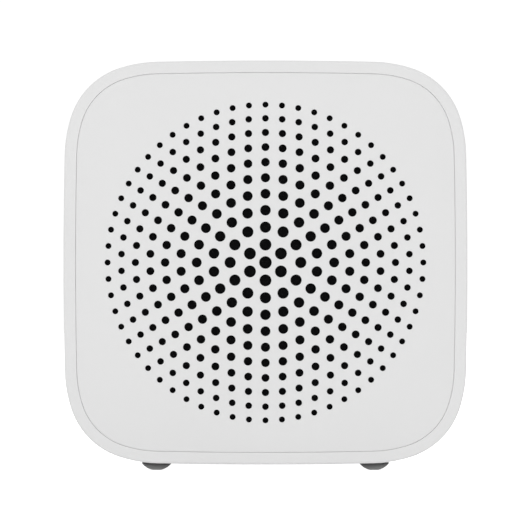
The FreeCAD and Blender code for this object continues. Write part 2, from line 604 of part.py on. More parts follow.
def make_speaker_box():
    box = body("speaker_box", z=MIDDLE)
    drawn = sketch(box, "XZ", out=LEDGE_BACK)
    outline(drawn, "flange_inset")
    circle(drawn, "0", "0", OPENING_RADIUS)
    pad(box, drawn, "flange_thickness")
    drawn = sketch(box, "XZ", out=LEDGE_BACK)
    outline(drawn, "box_inset")
    outline(drawn, "box_inset + box_wall")
    pad(box, drawn, f"{BOX_BACK} - {LEDGE_BACK}")
    holes(box, "XZ", FLANGE_SPOTS, "screw_radius + pass_play", LEDGE_BACK, "flange_thickness")
    discs(box, "XZ", DRIVER_SPOTS, "box_boss_radius", LEDGE_BACK, "driver_screw_length + blind_end")
    holes(box, "XZ", DRIVER_SPOTS, "fine_radius + thread_play", LEDGE_BACK, "driver_screw_length")
    discs(box, "XZ", LID_SPOTS, "box_boss_radius", f"{BOX_BACK} - box_boss_length", "box_boss_length")
    holes(box, "XZ", LID_SPOTS, "screw_radius + thread_play", BOX_BACK, "screw_length", backwards=True)


def make_box_seal():
    seal = body("box_seal", z=MIDDLE)
    drawn = sketch(seal, "XZ", out=BOX_BACK)
    outline(drawn, "box_inset + seal_side")
    outline(drawn, "box_inset + box_wall - seal_side")
    pad(seal, drawn, "box_seal")


def make_box_lid():
    lid = body("box_lid", z=MIDDLE)
    drawn = sketch(lid, "XZ", out=LID_FRONT)
    outline(drawn, "box_inset")
    pad(lid, drawn, "lid_thickness")
    discs(lid, "XZ", BOARD_SPOTS, "standoff_radius", LID_BACK, "standoff_length")
    holes(lid, "XZ", BOARD_SPOTS, "screw_radius + thread_play", BOARD_FRONT, "standoff_length",
          backwards=True)
    holes(lid, "XZ", LID_SPOTS, "screw_radius + pass_play", LID_BACK, "lid_thickness", backwards=True)
    holes(lid, "XZ", [("lead_x", "lead_z")], "grommet_hole", LID_BACK, "lid_thickness", backwards=True)


def make_lead_grommet():
    """A rubber bush with a groove that the lid's hole sits in."""
    play, flange = "foot_play", "grommet_flange"
    groove = f"grommet_hole - {play}"
    rim = f"(grommet_hole + {flange})"
    points = [(f"-lid_thickness - {flange}", "grommet_bore"), (f"-lid_thickness - {flange}", rim),
              ("-lid_thickness", rim), ("-lid_thickness", groove), ("0", groove), ("0", rim),
              (flange, rim), (flange, "grommet_bore")]
    turned("lead_grommet", points, x="lead_x", y=LID_BACK, z=f"{MIDDLE} + lead_z")


# -------------------------------------------------------------------- driver

def make_driver_frame():
    frame = body("driver_frame", y=LEDGE_BACK, z=MIDDLE)
    inner = f"({SURROUND_RADIUS} - frame_wall)"
    step = "(frame_back - frame_wall)"
    turn(frame, [("-frame_plate", inner), ("-frame_plate", FRAME_RADIUS), ("0", FRAME_RADIUS),
                 ("0", SURROUND_RADIUS), ("shelf_depth", "frame_back"), ("frame_depth", "frame_back"),
                 ("frame_depth", "magnet_bore"), ("frame_depth - frame_wall", "magnet_bore"),
                 ("frame_depth - frame_wall", step), ("shelf_depth + frame_wall", step),
                 ("shelf_depth + frame_wall", "shelf_inner"), ("shelf_depth", "shelf_inner"),
                 ("shelf_depth", step), ("0", inner)])
    # the tab that the terminal board sits on
    drawn = sketch(frame, "XZ", out="shelf_depth")
    rectangle(drawn, "-tab_width / 2", "-tab_drop", "tab_width / 2", "-shelf_inner - frame_wall")
    pad(frame, drawn, "frame_wall")
    holes(frame, "XZ", DRIVER_SPOTS, "fine_radius + pass_play", "-frame_plate", "frame_plate")
    # windows round the conical part
    drawn = sketch(frame, "XY", out=f"-{FRAME_RADIUS}")
    rectangle(drawn, "-window_width / 2", "window_front", "window_width / 2", "shelf_depth - frame_wall")
    window = pocket(frame, drawn, f"{FRAME_RADIUS} - shelf_inner")
    around = add(frame, "PolarPattern")
    around.Originals = [window]
    axis = next(item for item in frame.Origin.OriginFeatures if item.Role == "Y_Axis")
    around.Axis = (axis, [""])
    around.Angle = 360
    around.setExpression("Occurrences", bind("window_count"))
    frame.Tip = around


def make_driver_motor():
    points = ring_points("0", "plate_thickness", "plate_bore", "plate_radius")
    turned("driver_top_plate", points, y=MOTOR)
    points = ring_points("0", "magnet_thickness", "magnet_bore", "magnet_radius")
    turned("driver_magnet", points, y=MAGNET_FRONT)
    pole = "(pole_short - magnet_thickness - plate_thickness)"
    points = [(pole, "0"), (pole, "pole_radius"), ("0", "pole_radius"), ("0", "plate_radius"),
              ("yoke_thickness", "plate_radius"), ("yoke_thickness", "0")]
    turned("driver_yoke", points, y=YOKE_FRONT)


def make_driver_moving_parts():
    """The cone, its dust cap, the former and the coil: they all move along Y together."""
    lip, deep, wall = "cone_lip", "cone_depth", "cone_wall"
    rim = f"({CONE_RADIUS})"
    points = [("0", f"{rim} - {lip}"), ("0", rim), (wall, rim), (wall, f"{rim} - {lip}"),
              (f"{deep} + {wall}", f"{COIL_INNER} + {wall}"), (f"{deep} + {wall}", COIL_INNER),
              (deep, COIL_INNER)]
    turned("driver_cone", points, y=LIP_FACE)
    # the dust cap lands on the cone where the cone has the cap's radius
    slope = f"(({rim} - {lip} - cap_radius) / ({rim} - {lip} - {COIL_INNER}))"
    landing = f"({LIP_FACE} + {deep} * {slope} - cap_wall)"
    rise = "(cap_dome - sqrt(cap_dome ^ 2 - cap_radius ^ 2))"
    inner_dome = "(cap_dome - cap_wall)"
    inner_rise = f"({inner_dome} - sqrt({inner_dome} ^ 2 - (cap_radius - cap_wall) ^ 2))"
    points = [(f"-{rise}", "0", "-cap_dome"), ("0", "cap_radius"),
              ("0", "cap_radius - cap_wall", inner_dome), (f"-{inner_rise}", "0")]
    turned("dust_cap", points, y=landing)
    middle = f"({MOTOR} + plate_thickness / 2)"
    tail = f"{middle} + coil_length / 2 + former_tail"
    points = ring_points(f"{LIP_FACE} + {deep} - {wall}", tail, "former_inner", COIL_INNER)
    turned("coil_former", points)
    points = ring_points("-coil_length / 2", "coil_length / 2", COIL_INNER, f"{COIL_INNER} + coil_wall")
    turned("voice_coil", points, y=middle)


def make_driver_suspension():
    """The rubber surround and the corrugated spider, which flex as the cone moves."""
    skin, roll = "surround_skin", "(surround_span / 2 + roll_ease)"
    inner, outer = f"({CONE_RADIUS})", f"({SURROUND_RADIUS})"
    points = [("0", f"{inner} - cone_lip"), (f"-{skin}", f"{inner} - cone_lip"),
              (f"-{skin}", inner, f"-{roll}"), (f"-{skin}", outer),
              (f"-{skin}", f"{outer} + front_seal_width"), ("0", f"{outer} + front_seal_width"),
              ("0", f"{outer} - {skin}", f"{roll} - {skin}"), ("0", f"{inner} + {skin}")]
    turned("surround", points, y=LIP_FACE)
    inner = f"({COIL_INNER} + spider_play)"
    outer = "(frame_back - frame_wall)"
    step = f"((shelf_inner - {inner}) / (2 * spider_count))"
    curl = f"{step} * spider_curl"
    front, back = [], []
    for wave in range(2 * round(size("spider_count"))):
        bend = curl if wave % 2 == 0 else f"-{curl}"
        radius = f"{inner} + {step} * {wave}"
        front.append(("-spider_skin", radius, bend))
        back.append(("0", f"{radius} + {step}", f"-({bend})"))
    points = front + [("-spider_skin", "shelf_inner"), ("-spider_skin", outer), ("0", outer)]
    points += back[::-1] + [("0", inner)]
    turned("spider", points, y=SHELF)


def make_driver_seal():
    front = f"({LIP_FACE} - surround_skin - front_seal)"
    outer = f"{SURROUND_RADIUS} + front_seal_width"
    points = ring_points(front, f"{front} + front_seal", SURROUND_RADIUS, outer)
    turned("driver_seal", points)


def make_driver_terminal():
    """A small insulating board with two solder lugs."""
    terminal = body("driver_terminal", y=f"{SHELF} + frame_wall", z=MIDDLE)
    drawn = sketch(terminal, "XZ")
    rectangle(drawn, "-tab_width / 2", "-tab_drop", "tab_width / 2", "-frame_back - frame_wall")
    pad(terminal, drawn, "terminal_thickness")
    discs(terminal, "XZ", [("-lug_spread", "-lug_drop"), ("lug_spread", "-lug_drop")], "lug_radius",
          "terminal_thickness", "lug_height")


def make_driver_leads():
    """Two braided leads from the tab to the back of the cone."""
    clear = "2 * tinsel_radius"
    tab = f"({SHELF} - frame_wall / 2)"
    reach = f"({CONE_RADIUS} - cone_lip - {COIL_INNER})"
    landing = "(lug_drop - 7)"
    cone = f"({LIP_FACE} + cone_wall + cone_depth * ({CONE_RADIUS} - cone_lip - {landing}) / {reach})"
    routes = []
    for side in ("-lug_spread", "lug_spread"):
        routes.append([(side, f"{SHELF}", "-lug_drop"), (side, f"{tab} - 4", "-lug_drop"),
                       (side, f"{cone} + 1.6", f"-{landing} - 1"),
                       (side, f"{cone} + {clear}", f"-{landing}")])
    run("tinsel_leads", routes, ["tinsel_radius"], "1")


# ---------------------------------------------------------------- main board

def make_main_board():
    board = body("main_board", y=BOARD_FRONT, z=MIDDLE)
    block(board, "0", "0", "0", "(width - 2 * board_margin)", "board_thickness",
          "(height - 2 * board_margin)")
    holes(board, "XZ", BOARD_SPOTS, "screw_radius + pass_play", "0", "board_thickness")


def make_board_parts():
    can = body("shield_can", y=BOARD_REAR, z=MIDDLE)
    block(can, "can_x", "0", "can_z", "can_width", "can_depth", "can_height")
    drawn = sketch(can, "XZ")
    half_wide, half_tall = "(can_width / 2 - can_wall)", "(can_height / 2 - can_wall)"
    rectangle(drawn, f"can_x - {half_wide}", f"can_z - {half_tall}",
              f"can_x + {half_wide}", f"can_z + {half_tall}")
    pocket(can, drawn, "can_depth - can_wall")
    chip = body("processor", y=BOARD_REAR, z=MIDDLE)
    block(chip, "can_x", "0", "can_z", "chip_width", "chip_depth", "chip_width")
    amplifier = body("amplifier_chip", y=BOARD_REAR, z=MIDDLE)
    block(amplifier, "amplifier_x", "0", "amplifier_z", "amplifier_width", "amplifier_depth",
          "amplifier_width")
    chokes = body("power_chokes", y=BOARD_REAR, z=MIDDLE)
    cans = body("electrolytic_capacitors", y=BOARD_REAR, z=MIDDLE)
    tall, round_edge = "capacitor_height", "capacitor_round"
    for number in range(2):
        block(chokes, f"(choke_x + {number} * choke_pitch)", "0", "choke_z", "choke_width", "choke_depth",
              "choke_width")
        turn(cans, [("0", "0"), ("0", "capacitor_radius"), (f"{tall} - {round_edge}", "capacitor_radius"),
                    (tall, f"capacitor_radius - {round_edge}"), (tall, "0")],
             x=f"(capacitor_x + {number} * capacitor_pitch)", z="capacitor_z")
    socket = body("speaker_socket", y=f"{BOARD_FRONT} - socket_depth", z=MIDDLE)
    block(socket, "lead_x", "0", "lead_z", "socket_width", "socket_depth", "socket_height")
    sockets = body("ribbon_sockets", z=MIDDLE)
    block(sockets, "0", BOARD_REAR, "ribbon_socket_z", "ribbon_socket_width", "ribbon_socket_height",
          "ribbon_socket_length")
    slab(sockets, "0", RIBBON_Y, f"{HALF_HEIGHT} - key_board_drop", "ribbon_socket_width",
         "ribbon_socket_length", "ribbon_socket_height")
    # both sockets have a slot for the flat cable
    drawn = sketch(sockets, "YZ", out="-ribbon_width / 2")
    lift, grip = "(ribbon_lift - ribbon_thickness / 2)", "ribbon_grip"
    rear = f"({RIBBON_Y} + ribbon_socket_length / 2)"
    low = f"({HALF_HEIGHT} - key_board_drop + {lift})"
    rectangle(drawn, f"{rear} - {grip}", low, f"{rear} + {grip}", f"{low} + ribbon_thickness")
    pocket(sockets, drawn, "ribbon_width")
    drawn = sketch(sockets, "YZ", out="-ribbon_width / 2")
    head = "(ribbon_socket_z + ribbon_socket_length / 2)"
    near = f"({BOARD_REAR} + {lift})"
    rectangle(drawn, near, f"{head} - {grip}", f"{near} + ribbon_thickness", f"{head} + {grip}")
    pocket(sockets, drawn, "ribbon_width")


def make_leads():
    """The two speaker leads, from the driver's lugs through the lid to the socket on the board."""
    lug = f"({SHELF} + frame_wall + terminal_thickness + lug_height)"
    socket = f"({BOARD_FRONT} - socket_depth)"
    turn_back, before = f"({YOKE_FRONT} + 4)", f"({LID_FRONT} - 6)"
    routes = []
    for side, shift in (("-lug_spread", "-lead_pitch / 2"), ("lug_spread", "lead_pitch / 2")):
        there = f"lead_x + {shift} * 0.9"
        routes.append([(side, lug, "-lug_drop"), (side, turn_back, "-lug_drop"),
                       (there, before, "lead_z"), (there, socket, "lead_z")])
    run("speaker_leads", routes, ["lead_radius"], "lead_bend")
    level = f"({HALF_HEIGHT} - key_board_drop + ribbon_lift)"
    down = f"({BOARD_REAR} + ribbon_lift)"
    route = [("0", f"{RIBBON_Y} + ribbon_socket_length / 2 - ribbon_grip", level), ("0", down, level),
             ("0", down, "ribbon_socket_z + ribbon_socket_length / 2 - ribbon_grip")]
    run("ribbon_cable", [route], ["ribbon_width", "ribbon_thickness"], "ribbon_bend")


def make_aerial():
    wall_face = f"(wall + aerial_glue - {HALF_WIDTH})"
    middle = f"({REAR} - aerial_setback)"
    aerial = body("aerial_board", x=wall_face, y=middle, z=MIDDLE)
    drawn = sketch(aerial, "YZ")
    rectangle(drawn, "-aerial_length / 2", "-aerial_height / 2", "aerial_length / 2", "aerial_height / 2")
    pad(aerial, drawn, "aerial_thickness")
    points = ring_points("0", "aerial_socket_height", "0", "aerial_socket_radius")
    socket = turned("aerial_socket", points, x="aerial_socket_x", y=BOARD_REAR)
    socket_top = f"({BOARD_REAR} + aerial_socket_height)"
    route = [(f"{wall_face} + aerial_thickness", f"{middle} + 3", "0"),
             (f"{wall_face} + aerial_thickness + 4", f"{middle} + 3", "0"),
             ("aerial_socket_x", f"{socket_top} + 3.5", "0"), ("aerial_socket_x", socket_top, "0")]
    run("aerial_lead", [route], ["aerial_lead_radius"], "1.6")


# ---------------------------------------------------------------- power inlet

def make_power_inlet():
    face = f"({REAR} - recess_depth)"
    jack = body("jack_housing", z=f"{MIDDLE} + inlet_z")
    block(jack, "0", BOARD_REAR, "0", "jack_width", f"{face} - recess_floor - panel_gap - {BOARD_REAR}",
          "jack_width")
    discs(jack, "XZ", [("0", "0")], "nose_radius", BOARD_REAR, f"{face} - {BOARD_REAR}")
    holes(jack, "XZ", [("0", "0")], "jack_bore", face, f"{face} - {BOARD_REAR} - jack_floor", backwards=True)
    tip = f"({face} - pin_setback)"
    points = [(f"{BOARD_REAR} + jack_floor", "0"), (f"{BOARD_REAR} + jack_floor", "pin_radius"),
              (f"{tip} - pin_round", "pin_radius"), (tip, "pin_radius - pin_round"), (tip, "0")]
    turned("jack_pin", points, z=f"{MIDDLE} + inlet_z")


# ------------------------------------------------------------ keys and sensors

def make_key_board():
    board = body("key_board", z=f"{TOP} - key_board_drop - key_board_thickness")
    drawn = sketch(board, "XY")
    rectangle(drawn, f"-{KEY_BOARD_HALF}", KEY_BOARD_FRONT, KEY_BOARD_HALF, KEY_BOARD_REAR)
    pad(board, drawn, "key_board_thickness")
    holes(board, "XY", KEY_POST_SPOTS, "fine_radius + pass_play", "0", "key_board_thickness")


def make_keys():
    """Each key is a cap with a flange that keeps it in, and a stem that stands on a switch's
    plunger. The cap and the plunger travel together."""
    stem_end = "(switch_height - key_board_drop + key_travel)"
    flange_top = "(-top_skin - flange_rest)"
    for name, (x, y) in KEY_SPOTS.items():
        points = [("0", stem_end), ("key_stem", stem_end), ("key_stem", f"{flange_top} - key_flange_depth"),
                  ("key_flange", f"{flange_top} - key_flange_depth"), ("key_flange", flange_top),
                  ("key_radius", flange_top), ("key_radius", "-key_sink - key_round", "key_round"),
                  ("key_radius - key_round", "-key_sink"), ("0", "-key_sink")]
        turned(name, points, "Z", x, y, TOP)
        plunger = "plunger_foot - key_board_drop"
        points = [("0", plunger), ("plunger_radius", plunger), ("plunger_radius", stem_end), ("0", stem_end)]
        turned(name.replace("key", "plunger"), points, "Z", x, y, TOP)
    housings = body("switch_housings", z=f"{TOP} - key_board_drop")
    for x, y in KEY_SPOTS.values():
        slab(housings, x, y, "0", "switch_width", "switch_width", "switch_height")
    holes(housings, "XY", KEY_SPOTS.values(), "plunger_radius + plunger_play", "switch_height",
          "switch_height - plunger_foot + key_travel + flange_rest", backwards=True)


def make_sensors():
    microphones = body("microphones", z=f"{TOP} - key_board_drop")
    seals = body("microphone_seals", z=f"{TOP} - key_board_drop + mic_height")
    for x, y in MIC_SPOTS:
        slab(microphones, x, y, "0", "mic_width", "mic_length", "mic_height")
        points = [("mic_port", "0"), ("mic_seal", "0"),
                  ("mic_seal", "key_board_drop - top_skin - mic_height"),
                  ("mic_port", "key_board_drop - top_skin - mic_height")]
        turn(seals, points, "Z", x=x, y=y)
    holes(microphones, "XY", MIC_SPOTS, "mic_port", "mic_height", "mic_height / 2", backwards=True)
    led = body("status_led", z=f"{TOP} - key_board_drop")
    slab(led, "0", KEY_Y, "0", "led_width", "led_width", "led_height")
    low = "(led_height - key_board_drop + flange_rest)"
    points = [("0", low), ("light_flange", low), ("light_flange", f"{low} + light_flange_depth"),
              ("light_radius", f"{low} + light_flange_depth"), ("light_radius", "-dish_depth"),
              ("0", "-dish_depth")]
    turned("light_guide", points, "Z", y=KEY_Y, z=TOP)


# ---------------------------------------------------------------------- feet

def make_feet():
    """Rubber buttons: a dome with a small flat tip, a disc that sits in the shell's seat, and a
    stem with a head that is pulled through the wall."""
    fall = "sqrt(foot_dome ^ 2 - foot_tip ^ 2)"
    skirt = f"({fall} - sqrt(foot_dome ^ 2 - foot_radius ^ 2))"
    seat = "(foot_stand + foot_seat)"
    grip = "(foot_stand + wall + foot_lift)"
    points = [("0", "0"), ("foot_tip", "0", "foot_dome"), ("foot_radius", skirt), ("foot_radius", seat),
              ("foot_stem", seat), ("foot_stem", grip), ("foot_head", grip),
              ("foot_stem", f"{grip} + foot_head_height"), ("0", f"{grip} + foot_head_height")]
    names = ("front_left_foot", "rear_left_foot", "front_right_foot", "rear_right_foot")
    for name, (x, y) in zip(names, FOOT_SPOTS):
        turned(name, points, "Z", x, y, "0")


# ------------------------------------------------------------------ assembly

make_main_shell()
make_front_grille()
make_grille_cloth()
make_rear_cover()
make_rear_seal()
screws("cover_screws", COVER_SPOTS, f"{REAR} - cover_sink_depth", length="cover_screw_length")
make_speaker_box()
make_box_seal()
make_box_lid()
make_lead_grommet()
screws("flange_screws", FLANGE_SPOTS, BOX_WALL_BACK, length="flange_screw_length + flange_thickness")
screws("lid_screws", LID_SPOTS, LID_BACK)
make_driver_frame()
make_driver_motor()
make_driver_moving_parts()
make_driver_suspension()
make_driver_seal()
make_driver_terminal()
make_driver_leads()
make_main_board()
make_board_parts()
screws("board_screws", BOARD_SPOTS, BOARD_REAR, length="standoff_length + board_thickness - blind_end")
make_leads()
make_aerial()
make_power_inlet()
make_key_board()
screws("key_board_screws", KEY_POST_SPOTS, f"{TOP} - key_board_drop - key_board_thickness", "fine",
       "key_board_thickness + key_screw_grip", about="Z", z="0")
make_keys()
make_sensors()
make_feet()

doc.recompute()
for item in doc.Objects:
    if {"Invalid", "Error"} & set(item.State):
        raise ValueError(f"{item.Name} failed: {item.State}")
os.makedirs("parts", exist_ok=True)
for part in subparts:
    if part.Shape.isNull() or not part.Shape.isValid():
        raise ValueError(f"{part.Label} has no valid shape")
    part.Shape.exportStep(f"parts/{part.Label}.step")
print(f"{len(subparts)} sub-parts written")
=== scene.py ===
import json
import math

import bmesh
import bpy
from mathutils import Matrix, Vector


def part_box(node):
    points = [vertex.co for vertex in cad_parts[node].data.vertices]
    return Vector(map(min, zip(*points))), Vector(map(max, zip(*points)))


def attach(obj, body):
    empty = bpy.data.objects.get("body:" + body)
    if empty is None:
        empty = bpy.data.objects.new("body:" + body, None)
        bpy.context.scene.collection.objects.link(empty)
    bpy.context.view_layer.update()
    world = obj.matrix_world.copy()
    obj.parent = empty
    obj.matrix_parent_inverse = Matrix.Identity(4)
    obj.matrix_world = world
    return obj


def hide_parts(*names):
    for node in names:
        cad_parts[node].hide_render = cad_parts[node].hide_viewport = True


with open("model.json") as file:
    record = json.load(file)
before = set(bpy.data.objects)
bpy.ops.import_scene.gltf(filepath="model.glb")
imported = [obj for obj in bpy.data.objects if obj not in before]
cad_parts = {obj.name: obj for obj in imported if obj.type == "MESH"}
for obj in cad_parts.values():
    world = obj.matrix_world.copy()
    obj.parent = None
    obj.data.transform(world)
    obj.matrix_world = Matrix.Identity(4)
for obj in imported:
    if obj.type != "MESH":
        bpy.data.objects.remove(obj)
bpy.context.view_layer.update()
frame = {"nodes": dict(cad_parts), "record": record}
nodes = frame["nodes"]
mm = 0.001
weldGap = 2e-6

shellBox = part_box("main_shell")
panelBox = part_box("front_grille")
frontY = shellBox[0].y
middleZ = (panelBox[0].z + panelBox[1].z) / 2
print("frame loaded")


def linear(hexColour):
    # sRGB hex to the scene's linear colour
    values = []
    for start in (0, 2, 4):
        value = int(hexColour[start:start + 2], 16) / 255
        values.append(value / 12.92 if value <= 0.04045 else ((value + 0.055) / 1.055) ** 2.4)
    return (*values, 1.0)


def addNode(tree, kind, settings=None, links=None):
    # one node with its settings; a link is a socket or a constant, by input name or number
    node = tree.nodes.new(kind)
    for name, value in (settings or {}).items():
        setattr(node, name, value)
    for key, value in (links or {}).items():
        target = node.inputs[key]
        if isinstance(value, bpy.types.NodeSocket):
            tree.links.new(value, target)
        else:
            target.default_value = value
    return node


def newObject(name, mesh, body=None):
    made = bpy.data.objects.new(name, mesh)
    bpy.context.scene.collection.objects.link(made)
    if body:
        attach(made, body)
    return made


def meshFrom(name, vertices, faces):
    mesh = bpy.data.meshes.new(name)
    mesh.from_pydata(vertices, [], faces)
    mesh.update()
    return mesh


def softened(mesh, angle):
    # smooth faces, with the edges sharper than that angle kept crisp
    mesh.shade_smooth()
    mesh.set_sharp_from_angle(angle=math.radians(angle))
    return mesh


def cleaned(mesh, gap=weldGap):
    work = bmesh.new()
    work.from_mesh(mesh)
    bmesh.ops.remove_doubles(work, verts=work.verts, dist=gap)
    bmesh.ops.recalc_face_normals(work, faces=work.faces)
    work.to_mesh(mesh)
    work.free()
    mesh.update()
    return mesh


def meshOf(work, name):
    mesh = bpy.data.meshes.new(name)
    work.to_mesh(mesh)
    work.free()
    return mesh


def onCircle(radius, step, steps):
    angle = math.tau * step / steps
    return radius * math.cos(angle), radius * math.sin(angle)


def bridge(work, first, second):
    # a band of four-sided faces between two closed loops of the same length
    for number in range(len(first)):
        after = (number + 1) % len(first)
        work.faces.new((first[number], first[after], second[after], second[number]))


def lathe(profile, steps):
    # (radius, height) pairs turned about Z; a radius of 0 closes the end
    vertices, faces, rings = [], [], []
    for radius, height in profile:
        if radius == 0:
            rings.append([len(vertices)])
            vertices.append((0, 0, height))
            continue
        rings.append(list(range(len(vertices), len(vertices) + steps)))
        vertices += [(*onCircle(radius, step, steps), height) for step in range(steps)]
    for lower, upper in zip(rings, rings[1:]):
        for step in range(steps):
            after = (step + 1) % steps
            corners = [lower[step % len(lower)], lower[after % len(lower)],
                       upper[after % len(upper)], upper[step % len(upper)]]
            faces.append(list(dict.fromkeys(corners)))
    return vertices, faces


def startFinish(name):
    finish = bpy.data.materials.new(name)
    finish.use_nodes = True
    tree = finish.node_tree
    tree.nodes.clear()
    return finish, tree, addNode(tree, "ShaderNodeTexCoord").outputs["Object"]


def endFinish(tree, values):
    surface = addNode(tree, "ShaderNodeBsdfPrincipled", None, values)
    addNode(tree, "ShaderNodeOutputMaterial", None, {"Surface": surface.outputs["BSDF"]})


# a noise texture hardly leaves this span, so gloss is spread over it
noiseLow, noiseHigh = 0.3, 0.7
# a wave texture at a scale of 1 has a band every 10 / pi units
waveUnit = math.pi / 10


def grained(name, look):
    # a moulded or cast surface: fine grain from the mould, slow mottle in tone and gloss
    finish, tree, place = startFinish(name)
    grain = addNode(tree, "ShaderNodeTexNoise", None,
                    {"Vector": place, "Scale": 1 / (look["grain"] * mm), "Detail": 3.0, "Roughness": 0.6})
    mottle = addNode(tree, "ShaderNodeTexNoise", None,
                     {"Vector": place, "Scale": 1 / (look["mottle"] * mm), "Detail": 2.0, "Roughness": 0.5})
    tone = addNode(tree, "ShaderNodeMix", {"data_type": "RGBA"},
                   {"Factor": mottle.outputs["Fac"], 6: linear(look["dark"]), 7: linear(look["light"])})
    if "paintedUplight" in look:
        # painted light from the floor below: paler where the piece touches down, fading with height
        height = addNode(tree, "ShaderNodeSeparateXYZ", None, {"Vector": place})
        paintedUplightShare = addNode(tree, "ShaderNodeMapRange", None,
                       {"Value": height.outputs["Z"], "From Min": 0.0, "From Max": look["paintedUplightHeight"] * mm,
                        "To Min": 1.0, "To Max": 0.0})
        tone = addNode(tree, "ShaderNodeMix", {"data_type": "RGBA"},
                       {"Factor": paintedUplightShare.outputs["Result"], 6: tone.outputs[2], 7: linear(look["paintedUplight"])})
    gloss = addNode(tree, "ShaderNodeMapRange", None,
                    {"Value": mottle.outputs["Fac"], "From Min": noiseLow, "From Max": noiseHigh,
                     "To Min": look["gloss"][0], "To Max": look["gloss"][1]})
    relief = addNode(tree, "ShaderNodeBump", None,
                     {"Strength": look["relief"], "Distance": look["grain"] * mm * 0.5,
                      "Height": grain.outputs["Fac"]})
    endFinish(tree, {"Base Color": tone.outputs[2], "Roughness": gloss.outputs["Result"],
                     "Normal": relief.outputs["Normal"], "IOR": look["ior"],
                     "Specular IOR Level": look.get("shine", 0.5), "Sheen Weight": look.get("sheen", 0.0),
                     "Coat Weight": look.get("coat", 0.0), "Subsurface Weight": look.get("depth", 0.0),
                     "Subsurface Scale": look.get("depthScale", 1.0) * mm,
                     "Transmission Weight": look.get("clear", 0.0)})
    return finish


def drawnMetal(name, look):
    # bare or plated metal: streaks along one axis and cloudy handling marks
    finish, tree, place = startFinish(name)
    stretch = addNode(tree, "ShaderNodeMapping", None, {"Vector": place, "Scale": look["streak"]})
    streaks = addNode(tree, "ShaderNodeTexNoise", None,
                      {"Vector": stretch.outputs["Vector"], "Scale": 1 / (look["grain"] * mm), "Detail": 4.0})
    clouds = addNode(tree, "ShaderNodeTexNoise", None,
                     {"Vector": place, "Scale": 1 / (look["mottle"] * mm), "Detail": 3.0})
    tone = addNode(tree, "ShaderNodeMix", {"data_type": "RGBA"},
                   {"Factor": clouds.outputs["Fac"], 6: linear(look["dark"]), 7: linear(look["light"])})
    gloss = addNode(tree, "ShaderNodeMapRange", None,
                    {"Value": streaks.outputs["Fac"], "From Min": noiseLow, "From Max": noiseHigh,
                     "To Min": look["gloss"][0], "To Max": look["gloss"][1]})
    relief = addNode(tree, "ShaderNodeBump", None,
                     {"Strength": look["relief"], "Distance": 0.02 * mm, "Height": streaks.outputs["Fac"]})
    endFinish(tree, {"Base Color": tone.outputs[2], "Roughness": gloss.outputs["Result"],
                     "Normal": relief.outputs["Normal"], "Metallic": 1.0})
    return finish


def woven(name, look):
    # threads that cross over and under: two waves, and a checker of which one is on top
    finish, tree, place = startFinish(name)
    pitch = look["pitch"] * mm
    across, along = (addNode(tree, "ShaderNodeTexWave", {"bands_direction": axis, "wave_profile": "SIN"},
                             {"Vector": place, "Scale": waveUnit / pitch, "Distortion": 0.4,
                              "Detail Scale": 60.0}) for axis in "XZ")
    overUnder = addNode(tree, "ShaderNodeTexChecker", None, {"Vector": place, "Scale": 1 / pitch})
    height = addNode(tree, "ShaderNodeMix", {"data_type": "FLOAT"},
                     {"Factor": overUnder.outputs["Fac"], 2: across.outputs["Fac"], 3: along.outputs["Fac"]})
    fuzz = addNode(tree, "ShaderNodeTexNoise", None,
                   {"Vector": place, "Scale": 1 / (pitch * 0.3), "Detail": 2.0})
    # the tone follows the threads' height times a random fuzz: painted shade where a thread dips under its
    # neighbour
    shade = addNode(tree, "ShaderNodeMath", {"operation": "MULTIPLY"},
                    {0: height.outputs[0], 1: fuzz.outputs["Fac"]})
    tone = addNode(tree, "ShaderNodeMix", {"data_type": "RGBA"},
                   {"Factor": shade.outputs[0], 6: linear(look["dark"]), 7: linear(look["light"])})
    relief = addNode(tree, "ShaderNodeBump", None,
                     {"Strength": look["relief"], "Distance": pitch * 0.3, "Height": height.outputs[0]})
    endFinish(tree, {"Base Color": tone.outputs[2], "Normal": relief.outputs["Normal"],
                     "Roughness": look["gloss"], "IOR": look["ior"]})
    return finish


def banded(name, look):
    # wires or stripes side by side along one axis
    finish, tree, place = startFinish(name)
    pitch = look["pitch"] * mm
    bands = addNode(tree, "ShaderNodeTexWave", {"bands_direction": look["axis"], "wave_profile": "SIN"},
                    {"Vector": place, "Scale": waveUnit / pitch})
    wear = addNode(tree, "ShaderNodeTexNoise", None,
                   {"Vector": place, "Scale": 1 / (look["mottle"] * mm), "Detail": 3.0})
    # the tone follows the bands plus some random wear: on wound wire, painted shade in the grooves between
    # the wires; on flat cable, the conductors under the film
    mixed = addNode(tree, "ShaderNodeMath", {"operation": "MULTIPLY_ADD", "use_clamp": True},
                    {0: wear.outputs["Fac"], 1: 0.35, 2: bands.outputs["Fac"]})
    tone = addNode(tree, "ShaderNodeMix", {"data_type": "RGBA"},
                   {"Factor": mixed.outputs[0], 6: linear(look["dark"]), 7: linear(look["light"])})
    relief = addNode(tree, "ShaderNodeBump", None,
                     {"Strength": look["relief"], "Distance": pitch * 0.4, "Height": bands.outputs["Fac"]})
    endFinish(tree, {"Base Color": tone.outputs[2], "Normal": relief.outputs["Normal"],
                     "Roughness": look["gloss"], "IOR": look["ior"], "Metallic": look.get("metal", 0.0),
                     "Coat Weight": look.get("coat", 0.0)})
    return finish


